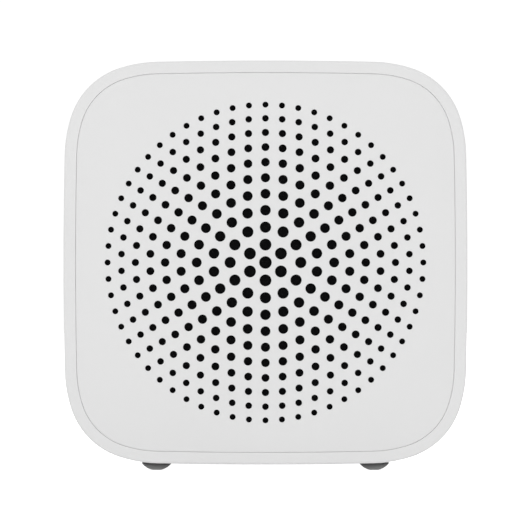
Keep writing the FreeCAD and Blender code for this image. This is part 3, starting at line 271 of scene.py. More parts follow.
def etchedBoard(name, look):
    # glass-epoxy board under solder mask: copper traces show as a lighter tone and a small step
    finish, tree, place = startFinish(name)
    traces = addNode(tree, "ShaderNodeTexVoronoi", {"distance": "CHEBYCHEV", "feature": "F1"},
                     {"Vector": place, "Scale": 1 / (look["trace"] * mm), "Randomness": 0.75})
    lines = addNode(tree, "ShaderNodeMath", {"operation": "PINGPONG"},
                    {0: traces.outputs["Distance"], 1: 0.16})
    copper = addNode(tree, "ShaderNodeMapRange", None,
                     {"Value": lines.outputs[0], "From Min": 0.05, "From Max": 0.09})
    pads = addNode(tree, "ShaderNodeTexVoronoi", {"distance": "EUCLIDEAN", "feature": "F1"},
                   {"Vector": place, "Scale": 1 / (look["via"] * mm), "Randomness": 1.0})
    vias = addNode(tree, "ShaderNodeMapRange", None,
                   {"Value": pads.outputs["Distance"], "From Min": 0.13, "From Max": 0.16,
                    "To Min": 1.0, "To Max": 0.0})
    mask = addNode(tree, "ShaderNodeMix", {"data_type": "RGBA"},
                   {"Factor": copper.outputs["Result"], 6: linear(look["dark"]), 7: linear(look["light"])})
    tone = addNode(tree, "ShaderNodeMix", {"data_type": "RGBA"},
                   {"Factor": vias.outputs["Result"], 6: mask.outputs[2], 7: linear(look["plating"])})
    step = addNode(tree, "ShaderNodeMath", {"operation": "ADD"},
                   {0: copper.outputs["Result"], 1: vias.outputs["Result"]})
    relief = addNode(tree, "ShaderNodeBump", None,
                     {"Strength": 0.5, "Distance": 0.05 * mm, "Height": step.outputs[0]})
    endFinish(tree, {"Base Color": tone.outputs[2], "Metallic": vias.outputs["Result"],
                     "Normal": relief.outputs["Normal"], "Roughness": look["gloss"], "IOR": 1.52})
    return finish


def porous(name, look):
    # open-cell foam or sintered ceramic: small pores, darkened with painted shade, over a matte ground
    finish, tree, place = startFinish(name)
    cells = addNode(tree, "ShaderNodeTexVoronoi", {"feature": "F1"},
                    {"Vector": place, "Scale": 1 / (look["pore"] * mm), "Randomness": 1.0})
    tone = addNode(tree, "ShaderNodeMix", {"data_type": "RGBA"},
                   {"Factor": cells.outputs["Distance"], 6: linear(look["dark"]), 7: linear(look["light"])})
    relief = addNode(tree, "ShaderNodeBump", None,
                     {"Strength": look["relief"], "Distance": look["pore"] * mm * 0.4,
                      "Height": cells.outputs["Distance"]})
    endFinish(tree, {"Base Color": tone.outputs[2], "Normal": relief.outputs["Normal"],
                     "Roughness": look["gloss"], "IOR": look["ior"]})
    return finish


finishes = {
    # white ABS from a spark-eroded mould: an even, chalky satin with a grain only just felt
    "shell": grained("shell_plastic", {
        "dark": "dedede", "light": "e2e2e2", "grain": 0.18, "mottle": 22,
        "gloss": (0.5, 0.58), "relief": 0.12, "ior": 1.53, "shine": 0.4}),
    # the same ABS in a separate mould, a shade brighter as its face takes no draft
    "panel": grained("panel_plastic", {
        "dark": "dfdfdf", "light": "e2e2e2", "grain": 0.16, "mottle": 26,
        "gloss": (0.52, 0.58), "relief": 0.1, "ior": 1.53, "shine": 0.4}),
    "key": grained("key_plastic", {
        "dark": "dfdfdf", "light": "e3e3e3", "grain": 0.15, "mottle": 8,
        "gloss": (0.46, 0.52), "relief": 0.12, "ior": 1.53, "shine": 0.45}),
    # black polyester mesh: fine crossing threads that hardly return any light
    "cloth": woven("mesh_polyester", {
        "dark": "060607", "light": "18181a", "pitch": 0.34,
        "relief": 0.6, "gloss": 0.95, "ior": 1.2}),
    # closed-cell foam strip, cut from sheet: soft, full of tiny pores
    "seal": porous("seal_foam", {
        "dark": "0d0d0e", "light": "2a2a2c", "pore": 0.35,
        "relief": 0.7, "gloss": 0.92, "ior": 1.5}),
    "box": grained("box_plastic", {
        "dark": "161617", "light": "1e1e20", "grain": 0.3, "mottle": 14,
        "gloss": (0.48, 0.6), "relief": 0.3, "ior": 1.53}),
    # zinc-plated steel: cool grey with faint drawing lines and dull clouds
    "steel": drawnMetal("zinc_plated_steel", {
        "dark": "a9adb3", "light": "c9ccd0", "grain": 0.4, "mottle": 5,
        "streak": (1, 0.15, 1), "gloss": (0.28, 0.42), "relief": 0.3}),
    # pressed steel under black electro-coat: slightly orange-peeled, half gloss
    "frame": grained("coated_steel", {
        "dark": "121213", "light": "1b1b1c", "grain": 0.9, "mottle": 9,
        "gloss": (0.34, 0.44), "relief": 0.25, "ior": 1.6, "coat": 0.25}),
    # sintered strontium ferrite, ground on its faces: charcoal and dusty
    "magnet": porous("ferrite", {
        "dark": "2b2b2d", "light": "3d3d40", "pore": 0.25,
        "relief": 0.35, "gloss": 0.7, "ior": 2.2}),
    # pressed pulp, dyed black: felted fibres that catch the light unevenly
    "cone": grained("pulp_paper", {
        "dark": "141415", "light": "2c2c2e", "grain": 0.7, "mottle": 2.2,
        "gloss": (0.75, 0.9), "relief": 0.7, "ior": 1.5, "sheen": 0.15}),
    # moulded butyl rubber: dull with a soft glint on its roll
    "surround": grained("butyl_rubber", {
        "dark": "0e0e0f", "light": "171718", "grain": 0.12, "mottle": 6,
        "gloss": (0.42, 0.5), "relief": 0.15, "ior": 1.52}),
    # cotton dipped in phenolic resin: amber weave with a varnish on it
    "spider": woven("dipped_cotton", {
        "dark": "8a5a22", "light": "d9a860", "pitch": 0.5,
        "relief": 0.8, "gloss": 0.55, "ior": 1.55}),
    "former": drawnMetal("rolled_aluminium", {
        "dark": "c3c5c8", "light": "dadbdd", "grain": 0.5, "mottle": 4,
        "streak": (1, 0.1, 1), "gloss": (0.25, 0.4), "relief": 0.2}),
    # enamelled copper wire, close wound: shiny orange-brown bands, darkened between the wires with painted
    # shade
    "coil": banded("enamelled_copper", {
        "dark": "6b2f16", "light": "c9743c", "pitch": 0.16, "axis": "Y",
        "mottle": 1.5, "relief": 0.8, "gloss": 0.3,
        "ior": 1.55, "metal": 1.0, "coat": 0.5}),
    "board": etchedBoard("green_board", {
        "dark": "0b3a20", "light": "145a33", "plating": "c8b27a",
        "trace": 4.2, "via": 2.4, "gloss": 0.33}),
    "aerial": etchedBoard("black_board", {
        "dark": "0f1216", "light": "2a2f36", "plating": "c9a24e",
        "trace": 5, "via": 3.2, "gloss": 0.35}),
    # transfer-moulded epoxy: sandy black with no shine
    "chip": grained("chip_epoxy", {
        "dark": "161617", "light": "222224", "grain": 0.12, "mottle": 3,
        "gloss": (0.6, 0.72), "relief": 0.35, "ior": 1.55}),
    # tinned sheet, stamped: bright with soft smears
    "can": drawnMetal("tinned_sheet", {
        "dark": "b9bbbd", "light": "dcdddf", "grain": 0.7, "mottle": 3,
        "streak": (0.2, 1, 1), "gloss": (0.22, 0.4), "relief": 0.25}),
    "capacitor": drawnMetal("bare_aluminium", {
        "dark": "c5c7c9", "light": "dedfe0", "grain": 0.3, "mottle": 2,
        "streak": (1, 0.1, 1), "gloss": (0.2, 0.34), "relief": 0.2}),
    # unfilled nylon: warm white and a little waxy
    "socket": grained("natural_nylon", {
        "dark": "d9d3c2", "light": "e8e3d4", "grain": 0.2, "mottle": 3,
        "gloss": (0.4, 0.5), "relief": 0.12, "ior": 1.53,
        "depth": 0.15, "depthScale": 0.6}),
    # extruded vinyl over stranded wire: smooth, with slow waves in its gloss
    "lead": grained("vinyl_insulation", {
        "dark": "8c1414", "light": "a81d1b", "grain": 0.5, "mottle": 4,
        "gloss": (0.32, 0.42), "relief": 0.1, "ior": 1.54}),
    # flat flexible cable: parallel conductors under white polyester film
    "ribbon": banded("flat_cable_film", {
        "dark": "b9bcc4", "light": "eceef1", "pitch": 0.5, "axis": "X",
        "mottle": 4, "relief": 0.3, "gloss": 0.35,
        "ior": 1.6}),
    "jack": grained("glass_filled_black", {
        "dark": "0c0c0d", "light": "141416", "grain": 0.25, "mottle": 4,
        "gloss": (0.3, 0.4), "relief": 0.15, "ior": 1.56}),
    # nickel plate on turned brass: bright, faint turning rings
    "pin": drawnMetal("nickel_plate", {
        "dark": "c9c4b8", "light": "e2ddd2", "grain": 0.25, "mottle": 2,
        "streak": (0.2, 1, 0.2), "gloss": (0.14, 0.24), "relief": 0.25}),
    "switch": grained("black_nylon", {
        "dark": "101011", "light": "1a1a1c", "grain": 0.15, "mottle": 3,
        "gloss": (0.45, 0.55), "relief": 0.2, "ior": 1.53}),
    # acetal off the sprue: milky and slippery
    "plunger": grained("natural_acetal", {
        "dark": "d6d3c8", "light": "e6e4dc", "grain": 0.12, "mottle": 1.5,
        "gloss": (0.3, 0.38), "relief": 0.08, "ior": 1.48,
        "depth": 0.2, "depthScale": 0.5}),
    # diffusing polycarbonate: milky, lets light soak in
    "light": grained("milky_polycarbonate", {
        "dark": "e2e6e8", "light": "eef1f2", "grain": 0.1, "mottle": 1,
        "gloss": (0.2, 0.28), "relief": 0.05, "ior": 1.585,
        "depth": 0.5, "depthScale": 0.8, "clear": 0.25}),
    # moulded thermoplastic rubber: charcoal under the body, paled towards its tip with painted light from the
    # floor below
    "foot": grained("foot_rubber", {
        "dark": "3c3c3c", "light": "464646", "grain": 0.1, "mottle": 2,
        "paintedUplight": "d0d0d0", "paintedUplightHeight": 1.5,
        "gloss": (0.5, 0.62), "relief": 0.2, "ior": 1.52, "sheen": 0.1}),
}
# pad-printed ink on the keys: flat mid grey, a hair rougher than the plastic
keyInk = grained("key_ink", {
    "dark": "6d6f72", "light": "77797c", "grain": 0.08, "mottle": 1.5,
    "gloss": (0.55, 0.65), "relief": 0.2, "ior": 1.5})
print("finishes made")

for row in frame["record"]["subparts"]:
    node = nodes[row["node"]]
    node.data.materials.clear()
    node.data.materials.append(finishes[row["material_slot"]])


outlineShape = {
    "halfWidth": 45.0, "halfHeight": 45.0, "bow": 1.28, "shoulder": 17.4,
    "shoulderRadius": 30.1, "cornerRadius": 16.75,
}
panel = {
    "inset": 2.72,          # shell wall and running gap
    "sink": 0.12,           # the face lies that far behind the shell's front edge
    "thickness": 2.38,
    "skin": 1.18,           # plastic left behind the holes
    "round": 0.12,
    "roundSteps": 3,
    "crease": 25,
    "rings": 10,
    "holesPerRing": 6,
    "holeDiameter": 2.8,
    "holeLoss": 0.147,      # each ring's holes are that much smaller
    "pitchLoss": 0.052,
    "fieldRadius": 35.16,
    "pocketRadius": 38.16,  # where the cloth lies
    "pocketSides": 96,
    "lip": 0.1,
    "holeSides": 20,
    "pegRadius": 0.9,
    "pegEase": 0.3,
    "pegSides": 16,
    "pegLength": 3.5,
    "pegInset": 4.7,
    "pegSpread": 14.0,
}


def outlinePoints(inset, shape):
    # a bowed side, a shoulder, a corner, a shoulder and a bowed side in each quarter, all tangent
    bow, shoulder = math.radians(shape["bow"]), math.radians(shape["shoulder"])
    wide, tight = shape["shoulderRadius"], shape["cornerRadius"]
    step = wide - tight
    fall, rise = 1 - math.cos(bow), math.sin(bow)
    rest = step * (math.cos(shoulder) - math.sin(shoulder)) - wide * (1 - fall - rise)
    across, up = shape["halfWidth"] + rest, shape["halfHeight"] + rest
    sideRadius = (fall * across - rise * up) / (fall ** 2 - rise ** 2)
    topRadius = (fall * up - rise * across) / (fall ** 2 - rise ** 2)
    side = (shape["halfWidth"] - sideRadius, 0)
    top = (0, shape["halfHeight"] - topRadius)
    low = (side[0] + (sideRadius - wide) * math.cos(bow), (sideRadius - wide) * rise)
    high = ((topRadius - wide) * rise, top[1] + (topRadius - wide) * math.cos(bow))
    corner = (low[0] + step * math.cos(shoulder), low[1] + step * math.sin(shoulder))
    quarterTurn = math.pi / 2
    arcs = [
        (side, sideRadius, 0, bow, 10),
        (low, wide, bow, shoulder, 8),
        (corner, tight, shoulder, quarterTurn - shoulder, 22),
        (high, wide, quarterTurn - shoulder, quarterTurn - bow, 8),
        (top, topRadius, quarterTurn - bow, quarterTurn, 10),
    ]
    quarter = []
    for (x, z), radius, first, last, count in arcs:
        for number in range(count):
            angle = first + (last - first) * number / count
            quarter.append((x + (radius - inset) * math.cos(angle), z + (radius - inset) * math.sin(angle)))
    points = []
    for turn in range(4):
        # each quarter is the first one mirrored and turned, so the four join without a gap
        cos, sin = round(math.cos(turn * quarterTurn)), round(math.sin(turn * quarterTurn))
        points += [(x * cos - z * sin, x * sin + z * cos) for x, z in quarter]
    return [(x * mm, z * mm) for x, z in points]


def atDepth(points, depth, near=1e-7):
    return [abs(point.co.z - depth) < near for point in points]


def panelRim(settings, shape):
    # the rim outside the perforated face: rounded front edge, side, and the back ledge. Z is depth.
    work = bmesh.new()
    rings = []
    for number in range(settings["roundSteps"] + 1):
        angle = math.pi / 2 * number / settings["roundSteps"]
        inset = settings["inset"] + settings["round"] * (1 - math.sin(angle))
        depth = settings["round"] * (1 - math.cos(angle))
        rings.append((inset, depth))
    rings.append((settings["inset"], settings["thickness"]))
    loops = []
    for inset, depth in rings:
        loops.append([work.verts.new((x, z, depth * mm)) for x, z in outlinePoints(inset, shape)])
    for outer, inner in zip(loops, loops[1:]):
        bridge(work, outer, inner)
    # pocket behind the holes: its wall, and the flat ledge between it and the rim
    sides, radius = settings["pocketSides"], settings["pocketRadius"] * mm
    wall = []
    for depth in (settings["thickness"], settings["skin"]):
        wall.append([work.verts.new((*onCircle(radius, i, sides), depth * mm)) for i in range(sides)])
    bridge(work, wall[0], wall[1])
    work.edges.ensure_lookup_table()
    ledge = [edge for edge in work.edges if edge.is_boundary
             and all(atDepth(edge.verts, settings["thickness"] * mm))]
    bmesh.ops.triangle_fill(work, edges=ledge, use_beauty=True)
    # the pegs that press into the shell's ledge
    far, near = shape["halfWidth"] - settings["pegInset"], settings["pegSpread"]
    spots = []
    for first in (-1, 1):
        for second in (-1, 1):
            spots += [(first * far, second * near), (first * near, second * far)]
    reach, ease = settings["thickness"] + settings["pegLength"], settings["pegEase"]
    peg = [(settings["pegRadius"], settings["thickness"]), (settings["pegRadius"], reach - ease),
           (settings["pegRadius"] - ease, reach), (0, reach)]
    vertices, faces = lathe([(radius * mm, depth * mm) for radius, depth in peg], settings["pegSides"])
    for x, z in spots:
        made = [work.verts.new((vx + x * mm, vy + z * mm, vz)) for vx, vy, vz in vertices]
        for face in faces:
            work.faces.new([made[index] for index in face])
    mesh = meshOf(work, "panel_rim")
    # the loops that the perforated face and the pocket's floor fill
    for name, depth in (("faceLoop", 0.0), ("pocketLoop", settings["skin"] * mm)):
        flag = mesh.attributes.new(name, "BOOLEAN", "POINT")
        flag.data.foreach_set("value", atDepth(mesh.vertices, depth))
    return mesh


def startTree(name, inputs):
    # a tree from geometry to geometry, with a named input for each size
    tree = bpy.data.node_groups.new(name, "GeometryNodeTree")
    tree.interface.new_socket("Geometry", in_out="INPUT", socket_type="NodeSocketGeometry")
    for label, kind in inputs.items():
        tree.interface.new_socket(label, in_out="INPUT", socket_type="NodeSocket" + kind)
    tree.interface.new_socket("Geometry", in_out="OUTPUT", socket_type="NodeSocketGeometry")
    return tree, addNode(tree, "NodeGroupInput").outputs


def perforationTree():
    tree, given = startTree("perforated_face", {
        "Rings": "Int", "Holes per ring": "Int", "Field radius": "Float", "Hole diameter": "Float",
        "Hole loss": "Float", "Pitch loss": "Float", "Skin": "Float", "Lip": "Float",
        "Hole sides": "Int", "Finish": "Material"})

    def calc(operation, *values):
        settings = {"operation": operation}
        return addNode(tree, "ShaderNodeMath", settings, dict(enumerate(values))).outputs[0]

    # one point for each hole; its number gives its ring and its place in the ring
    ringsPlus = calc("ADD", given["Rings"], 1.0)
    perPair = calc("DIVIDE", given["Holes per ring"], 2.0)
    count = calc("ADD", calc("MULTIPLY", calc("MULTIPLY", given["Rings"], ringsPlus), perPair), 1.0)
    points = addNode(tree, "GeometryNodePoints", None, {"Count": count})
    index = addNode(tree, "GeometryNodeInputIndex").outputs[0]
    # the ring k holds numbers up to (holes per ring / 2) k (k + 1)
    inner = calc("ADD", calc("DIVIDE", calc("MULTIPLY", index, 4.0), perPair), 1.0)
    nearRing = calc("DIVIDE", calc("SUBTRACT", calc("SQRT", inner), 1.0), 2.0)
    # less a hair, so that a ring's last hole doesn't round up to the next ring
    ring = calc("CEIL", calc("SUBTRACT", nearRing, 0.001))
    before = calc("MULTIPLY", calc("MULTIPLY", ring, calc("SUBTRACT", ring, 1.0)), perPair)
    place = calc("SUBTRACT", calc("SUBTRACT", index, before), 1.0)
    turn = calc("DIVIDE", math.tau, calc("MAXIMUM", calc("MULTIPLY", given["Holes per ring"], ring), 1.0))
    angle = calc("ADD", calc("MULTIPLY", place, turn), math.pi / 2)
    # rings draw a little closer towards the outside
    lossTotal = calc("MULTIPLY", given["Pitch loss"],
                     calc("MULTIPLY", given["Rings"], calc("SUBTRACT", given["Rings"], 1.0)))
    pitch = calc("DIVIDE", calc("ADD", given["Field radius"], lossTotal), given["Rings"])
    lossHere = calc("MULTIPLY", given["Pitch loss"], calc("MULTIPLY", ring, calc("SUBTRACT", ring, 1.0)))
    radius = calc("SUBTRACT", calc("MULTIPLY", pitch, ring), lossHere)
    spot = addNode(tree, "ShaderNodeCombineXYZ", None,
                   {"X": calc("MULTIPLY", radius, calc("COSINE", angle)),
                    "Y": calc("MULTIPLY", radius, calc("SINE", angle))})
    tree.links.new(spot.outputs[0], points.inputs["Position"])
    holeRadius = calc("DIVIDE", calc("SUBTRACT", given["Hole diameter"],
                                     calc("MULTIPLY", given["Hole loss"], ring)), 2.0)
    centres = addNode(tree, "GeometryNodeStoreNamedAttribute", {"data_type": "FLOAT", "domain": "POINT"},
                      {"Geometry": points.outputs[0], "Name": "holeRadius", "Value": holeRadius})

    def holeLoops(extra):
        # a ring of edges for each hole, that much wider than the hole
        circle = addNode(tree, "GeometryNodeCurvePrimitiveCircle", {"mode": "RADIUS"},
                         {"Resolution": given["Hole sides"], "Radius": 1.0})
        stored = addNode(tree, "GeometryNodeInputNamedAttribute", {"data_type": "FLOAT"},
                         {"Name": "holeRadius"})
        size = calc("ADD", stored.outputs[0], extra)
        return addNode(tree, "GeometryNodeInstanceOnPoints", None,
                       {"Points": centres.outputs[0], "Instance": circle.outputs[0], "Scale": size})

    def filled(loopName, holes, depth):
        flag = addNode(tree, "GeometryNodeInputNamedAttribute", {"data_type": "BOOLEAN"},
                       {"Name": loopName})
        edge = addNode(tree, "GeometryNodeMeshToCurve", None,
                       {"Mesh": given["Geometry"], "Selection": flag.outputs[0]})
        joined = addNode(tree, "GeometryNodeJoinGeometry")
        real = addNode(tree, "GeometryNodeRealizeInstances", None, {"Geometry": holes.outputs[0]})
        tree.links.new(edge.outputs[0], joined.inputs[0])
        tree.links.new(real.outputs[0], joined.inputs[0])
        face = addNode(tree, "GeometryNodeFillCurve", {"mode": "TRIANGLES"}, {"Curve": joined.outputs[0]})
        down = addNode(tree, "ShaderNodeCombineXYZ", None, {"Z": depth})
        return addNode(tree, "GeometryNodeSetPosition", None,
                       {"Geometry": face.outputs[0], "Offset": down.outputs[0]})

    front = filled("faceLoop", holeLoops(given["Lip"]), 0.0)
    back = filled("pocketLoop", holeLoops(0.0), given["Skin"])
    flipped = addNode(tree, "GeometryNodeFlipFaces", None, {"Mesh": back.outputs[0]})

    # walls: the loops of the face, pulled in by the lip and then back through the skin
    loops = addNode(tree, "GeometryNodeRealizeInstances", None,
                    {"Geometry": holeLoops(given["Lip"]).outputs[0]})
    wire = addNode(tree, "GeometryNodeCurveToMesh", None, {"Curve": loops.outputs[0]})
    position = addNode(tree, "GeometryNodeInputPosition").outputs[0]
    nearest = addNode(tree, "GeometryNodeSampleNearest", {"domain": "POINT"},
                      {"Geometry": centres.outputs[0]})
    centre = addNode(tree, "GeometryNodeSampleIndex", {"data_type": "FLOAT_VECTOR", "domain": "POINT"},
                     {"Geometry": centres.outputs[0], "Value": position, "Index": nearest.outputs[0]})
    towards = addNode(tree, "ShaderNodeVectorMath", {"operation": "SUBTRACT"},
                      {0: centre.outputs[0], 1: position})
    onlyAcross = addNode(tree, "ShaderNodeVectorMath", {"operation": "MULTIPLY"},
                         {0: towards.outputs[0], 1: (1.0, 1.0, 0.0)})
    inward = addNode(tree, "ShaderNodeVectorMath", {"operation": "NORMALIZE"}, {0: onlyAcross.outputs[0]})

    def step(mesh, selection, acrossBy, backBy):
        shift = addNode(tree, "ShaderNodeVectorMath", {"operation": "SCALE"},
                        {0: inward.outputs[0], "Scale": calc("MULTIPLY", given["Lip"], acrossBy)})
        drop = addNode(tree, "ShaderNodeCombineXYZ", None, {"Z": backBy})
        total = addNode(tree, "ShaderNodeVectorMath", {"operation": "ADD"},
                        {0: shift.outputs[0], 1: drop.outputs[0]})
        links = {"Mesh": mesh, "Offset": total.outputs[0], "Offset Scale": 1.0}
        if selection is not None:
            links["Selection"] = selection
        return addNode(tree, "GeometryNodeExtrudeMesh", {"mode": "EDGES"}, links)

    half = math.sqrt(0.5)
    # how deep the lip's first step goes, as a share of the lip
    firstDrop = half * 0.42
    first = step(wire.outputs[0], None, 1 - half, calc("MULTIPLY", given["Lip"], firstDrop))
    second = step(first.outputs["Mesh"], first.outputs["Top"], half,
                  calc("MULTIPLY", given["Lip"], 1 - firstDrop))
    third = step(second.outputs["Mesh"], second.outputs["Top"], 0.0,
                 calc("SUBTRACT", given["Skin"], given["Lip"]))
    joined = addNode(tree, "GeometryNodeJoinGeometry")
    for part in (given["Geometry"], front.outputs[0], flipped.outputs[0], third.outputs["Mesh"]):
        tree.links.new(part, joined.inputs[0])
    merged = addNode(tree, "GeometryNodeMergeByDistance", None,
                     {"Geometry": joined.outputs[0], "Distance": weldGap})
    real = addNode(tree, "GeometryNodeRealizeInstances", None, {"Geometry": merged.outputs[0]})
    coated = addNode(tree, "GeometryNodeSetMaterial", None,
                     {"Geometry": real.outputs[0], "Material": given["Finish"]})
    addNode(tree, "NodeGroupOutput", None, {0: coated.outputs[0]})
    return tree


def runTree(base, tree, values):
    # sets the inputs by their socket's identifier, evaluates once, and returns a plain mesh
    modifier = base.modifiers.new("shape", "NODES")
    modifier.node_group = tree
    for item in tree.interface.items_tree:
        if item.item_type == "SOCKET" and item.in_out == "INPUT" and item.name in values:
            modifier[item.identifier] = values[item.name]
    bpy.context.view_layer.update()
    evaluated = base.evaluated_get(bpy.context.evaluated_depsgraph_get())
    mesh = bpy.data.meshes.new_from_object(evaluated)
    base.modifiers.remove(modifier)
    bpy.data.objects.remove(base)
    return mesh


panelBase = newObject("panel_base", panelRim(panel, outlineShape))
panelMesh = runTree(panelBase, perforationTree(), {
    "Rings": panel["rings"], "Holes per ring": panel["holesPerRing"],
    "Field radius": panel["fieldRadius"] * mm, "Hole diameter": panel["holeDiameter"] * mm,
    "Hole loss": panel["holeLoss"] * mm, "Pitch loss": panel["pitchLoss"] * mm,
    "Skin": panel["skin"] * mm, "Lip": panel["lip"] * mm,
    "Hole sides": panel["holeSides"], "Finish": finishes["panel"],
})
# the tree works flat; the panel stands upright with its face to the front
panelMesh.transform(Matrix(((1, 0, 0, 0), (0, 0, 1, frontY + panel["sink"] * mm),
                            (0, 1, 0, middleZ), (0, 0, 0, 1))))
softened(cleaned(panelMesh), panel["crease"])
frontPanel = newObject("perforated_front_panel", panelMesh, "cabinet")
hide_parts("front_grille")
print("front panel made", len(panelMesh.polygons))


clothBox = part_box("grille_cloth")
cloth = {"radius": (clothBox[1].x - clothBox[0].x) / 2, "rows": 60, "weight": 0.3,
         "slack": 0.03, "eye": 0.02}


def clothMesh(settings, box):
    # a disc of mesh cut by a round die and glued behind the holes, pulled flat, with a trace of slack
    rows, radius = settings["rows"], settings["radius"]
    faceY = (box[0].y + box[1].y) / 2
    middle = (box[0].z + box[1].z) / 2
    vertices, faces = [], []
    for ring in range(rows + 1):
        for step in range(rows * 2):
            angle = math.tau * step / (rows * 2)
            # the innermost ring is a tiny eye, not a point
            reach = radius * max(ring, settings["eye"]) / rows
            slack = settings["slack"] * mm * math.sin(ring / rows * math.pi) * math.cos(3 * angle)
            vertices.append((reach * math.cos(angle), faceY + slack, middle + reach * math.sin(angle)))
    for ring in range(rows):
        for step in range(rows * 2):
            after = (step + 1) % (rows * 2)
            faces.append((ring * rows * 2 + step, ring * rows * 2 + after,
                          (ring + 1) * rows * 2 + after, (ring + 1) * rows * 2 + step))
    return meshFrom("grille_cloth_sheet", vertices, faces)


clothSheet = newObject("acoustic_cloth", cleaned(clothMesh(cloth, clothBox)), "cabinet")
clothSheet.data.shade_smooth()
clothSheet.data.materials.append(finishes["cloth"])
thick = clothSheet.modifiers.new("weight", "SOLIDIFY")
thick.thickness = cloth["weight"] * mm
thick.offset = 0
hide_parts("grille_cloth")
print("cloth made")


coarseScrew = {"head": 2.4, "headHeight": 1.6, "shank": 1.25, "thread": 0.2, "pitch": 0.8,
               "arm": 1.5, "slot": 0.42, "drive": 0.8, "sides": 24}
fineScrew = {"head": 1.7, "headHeight": 1.0, "shank": 0.9, "thread": 0.15, "pitch": 0.6,
             "arm": 1.05, "slot": 0.3, "drive": 0.55, "sides": 24}
screwShape = {
    # the head's dome, as (share of its radius, share of its height)
    "dome": ((1.0, 0.0), (1.0, 0.42), (0.965, 0.62), (0.87, 0.8), (0.74, 0.92), (0.66, 1.0)),
    "rowsPerTurn": 5, "leastRows": 8, "fadeRows": 4,
    "point": 0.45, "pointRows": 5, "recessFloor": 0.6, "crease": 35,
}


def screwMesh(name, kind, length):
    # a pan head with a cross recess, and a shank with a running thread; it points down from Z = 0
    work = bmesh.new()
    sides = kind["sides"]
    tall, head = kind["headHeight"], kind["head"]
    loops = []
    rows = max(screwShape["leastRows"], int(length / kind["pitch"] * screwShape["rowsPerTurn"]))
    fadeRows = screwShape["fadeRows"]
    for row in range(rows + 1):
        # from the point up: the thread's crest winds round, and fades at both ends
        height = -length + length * row / rows
        fade = min(1.0, row / fadeRows, (rows - row) / fadeRows)
        point = min(1.0, screwShape["point"] + row / screwShape["pointRows"])
        ring = []
        for step in range(sides):
            wind = (height / kind["pitch"] - step / sides) % 1
            crest = max(0.0, 1 - abs(wind - 0.5) * 4)
            reach = (kind["shank"] - kind["thread"] + kind["thread"] * crest * fade) * point
            ring.append(work.verts.new((*onCircle(reach, step, sides), height)))
        loops.append(ring)
    for wide, high in screwShape["dome"]:
        loops.append([work.verts.new((*onCircle(wide * head, step, sides), high * tall))
                      for step in range(sides)])
    for lower, upper in zip(loops, loops[1:]):
        bridge(work, lower, upper)
    work.faces.new(list(reversed(loops[0])))
    # the cross recess, narrower at its floor
    arm, slot = kind["arm"], kind["slot"]
    star = []
    for turn in range(4):
        angle = turn * math.pi / 2
        for x, y in ((arm, -slot), (arm, slot), (slot, slot)):
            star.append((x * math.cos(angle) - y * math.sin(angle),
                         x * math.sin(angle) + y * math.cos(angle)))
    upper = [work.verts.new((x, y, tall)) for x, y in star]
    floor = screwShape["recessFloor"]
    lower = [work.verts.new((x * floor, y * floor, tall - kind["drive"])) for x, y in star]
    work.edges.ensure_lookup_table()
    rim = [work.edges.get((loops[-1][i], loops[-1][(i + 1) % sides])) for i in range(sides)]
    cut = [work.edges.new((upper[i], upper[(i + 1) % len(upper)])) for i in range(len(upper))]
    bmesh.ops.triangle_fill(work, edges=rim + cut, use_beauty=True)
    bridge(work, upper, lower)
    work.faces.new(lower)
    bmesh.ops.recalc_face_normals(work, faces=work.faces)
    bmesh.ops.scale(work, vec=(mm, mm, mm), verts=work.verts)
    return softened(meshOf(work, name), screwShape["crease"])


def scatterTree():
    tree, given = startTree("parts_on_spots", {
        "Part": "Object", "Seed": "Int", "Most turn": "Float", "Turn step": "Float",
        "Finish": "Material"})
    shape = addNode(tree, "GeometryNodeObjectInfo", None, {"Object": given["Part"]})
    # each part sits at a turn of its own, in whole steps
    turn = addNode(tree, "FunctionNodeRandomValue", {"data_type": "FLOAT"},
                   {2: 0.0, 3: given["Most turn"], "Seed": given["Seed"]})
    stepped = addNode(tree, "ShaderNodeMath", {"operation": "SNAP"},
                      {0: turn.outputs[1], 1: given["Turn step"]})
    about = addNode(tree, "ShaderNodeCombineXYZ", None, {"Z": stepped.outputs[0]})
    placed = addNode(tree, "GeometryNodeInstanceOnPoints", None,
                     {"Points": given["Geometry"], "Instance": shape.outputs["Geometry"],
                      "Rotation": about.outputs[0]})
    real = addNode(tree, "GeometryNodeRealizeInstances", None, {"Geometry": placed.outputs[0]})
    coated = addNode(tree, "GeometryNodeSetMaterial", None,
                     {"Geometry": real.outputs[0], "Material": given["Finish"]})
    addNode(tree, "NodeGroupOutput", None, {0: coated.outputs[0]})
    return tree


scatterGroup = scatterTree()


def scattered(name, spots, part, seed, finish, mostTurn=math.pi / 2, step=0.01):
    # copies of one part on flat spots, as a plain mesh that still faces up
    base = newObject(name + "_base", meshFrom(name, [(x * mm, y * mm, 0) for x, y in spots], []))
    single = newObject(name + "_part", part)
    mesh = runTree(base, scatterGroup, {"Part": single, "Seed": seed, "Most turn": mostTurn,
                                        "Turn step": step, "Finish": finish})
    bpy.data.objects.remove(single)
    return mesh


def upright(mesh, x, z, y):
    # from lying on XY, facing up, to facing the rear
    mesh.transform(Matrix(((1, 0, 0, x), (0, 0, 1, y), (0, -1, 0, z), (0, 0, 0, 1))))
    return mesh


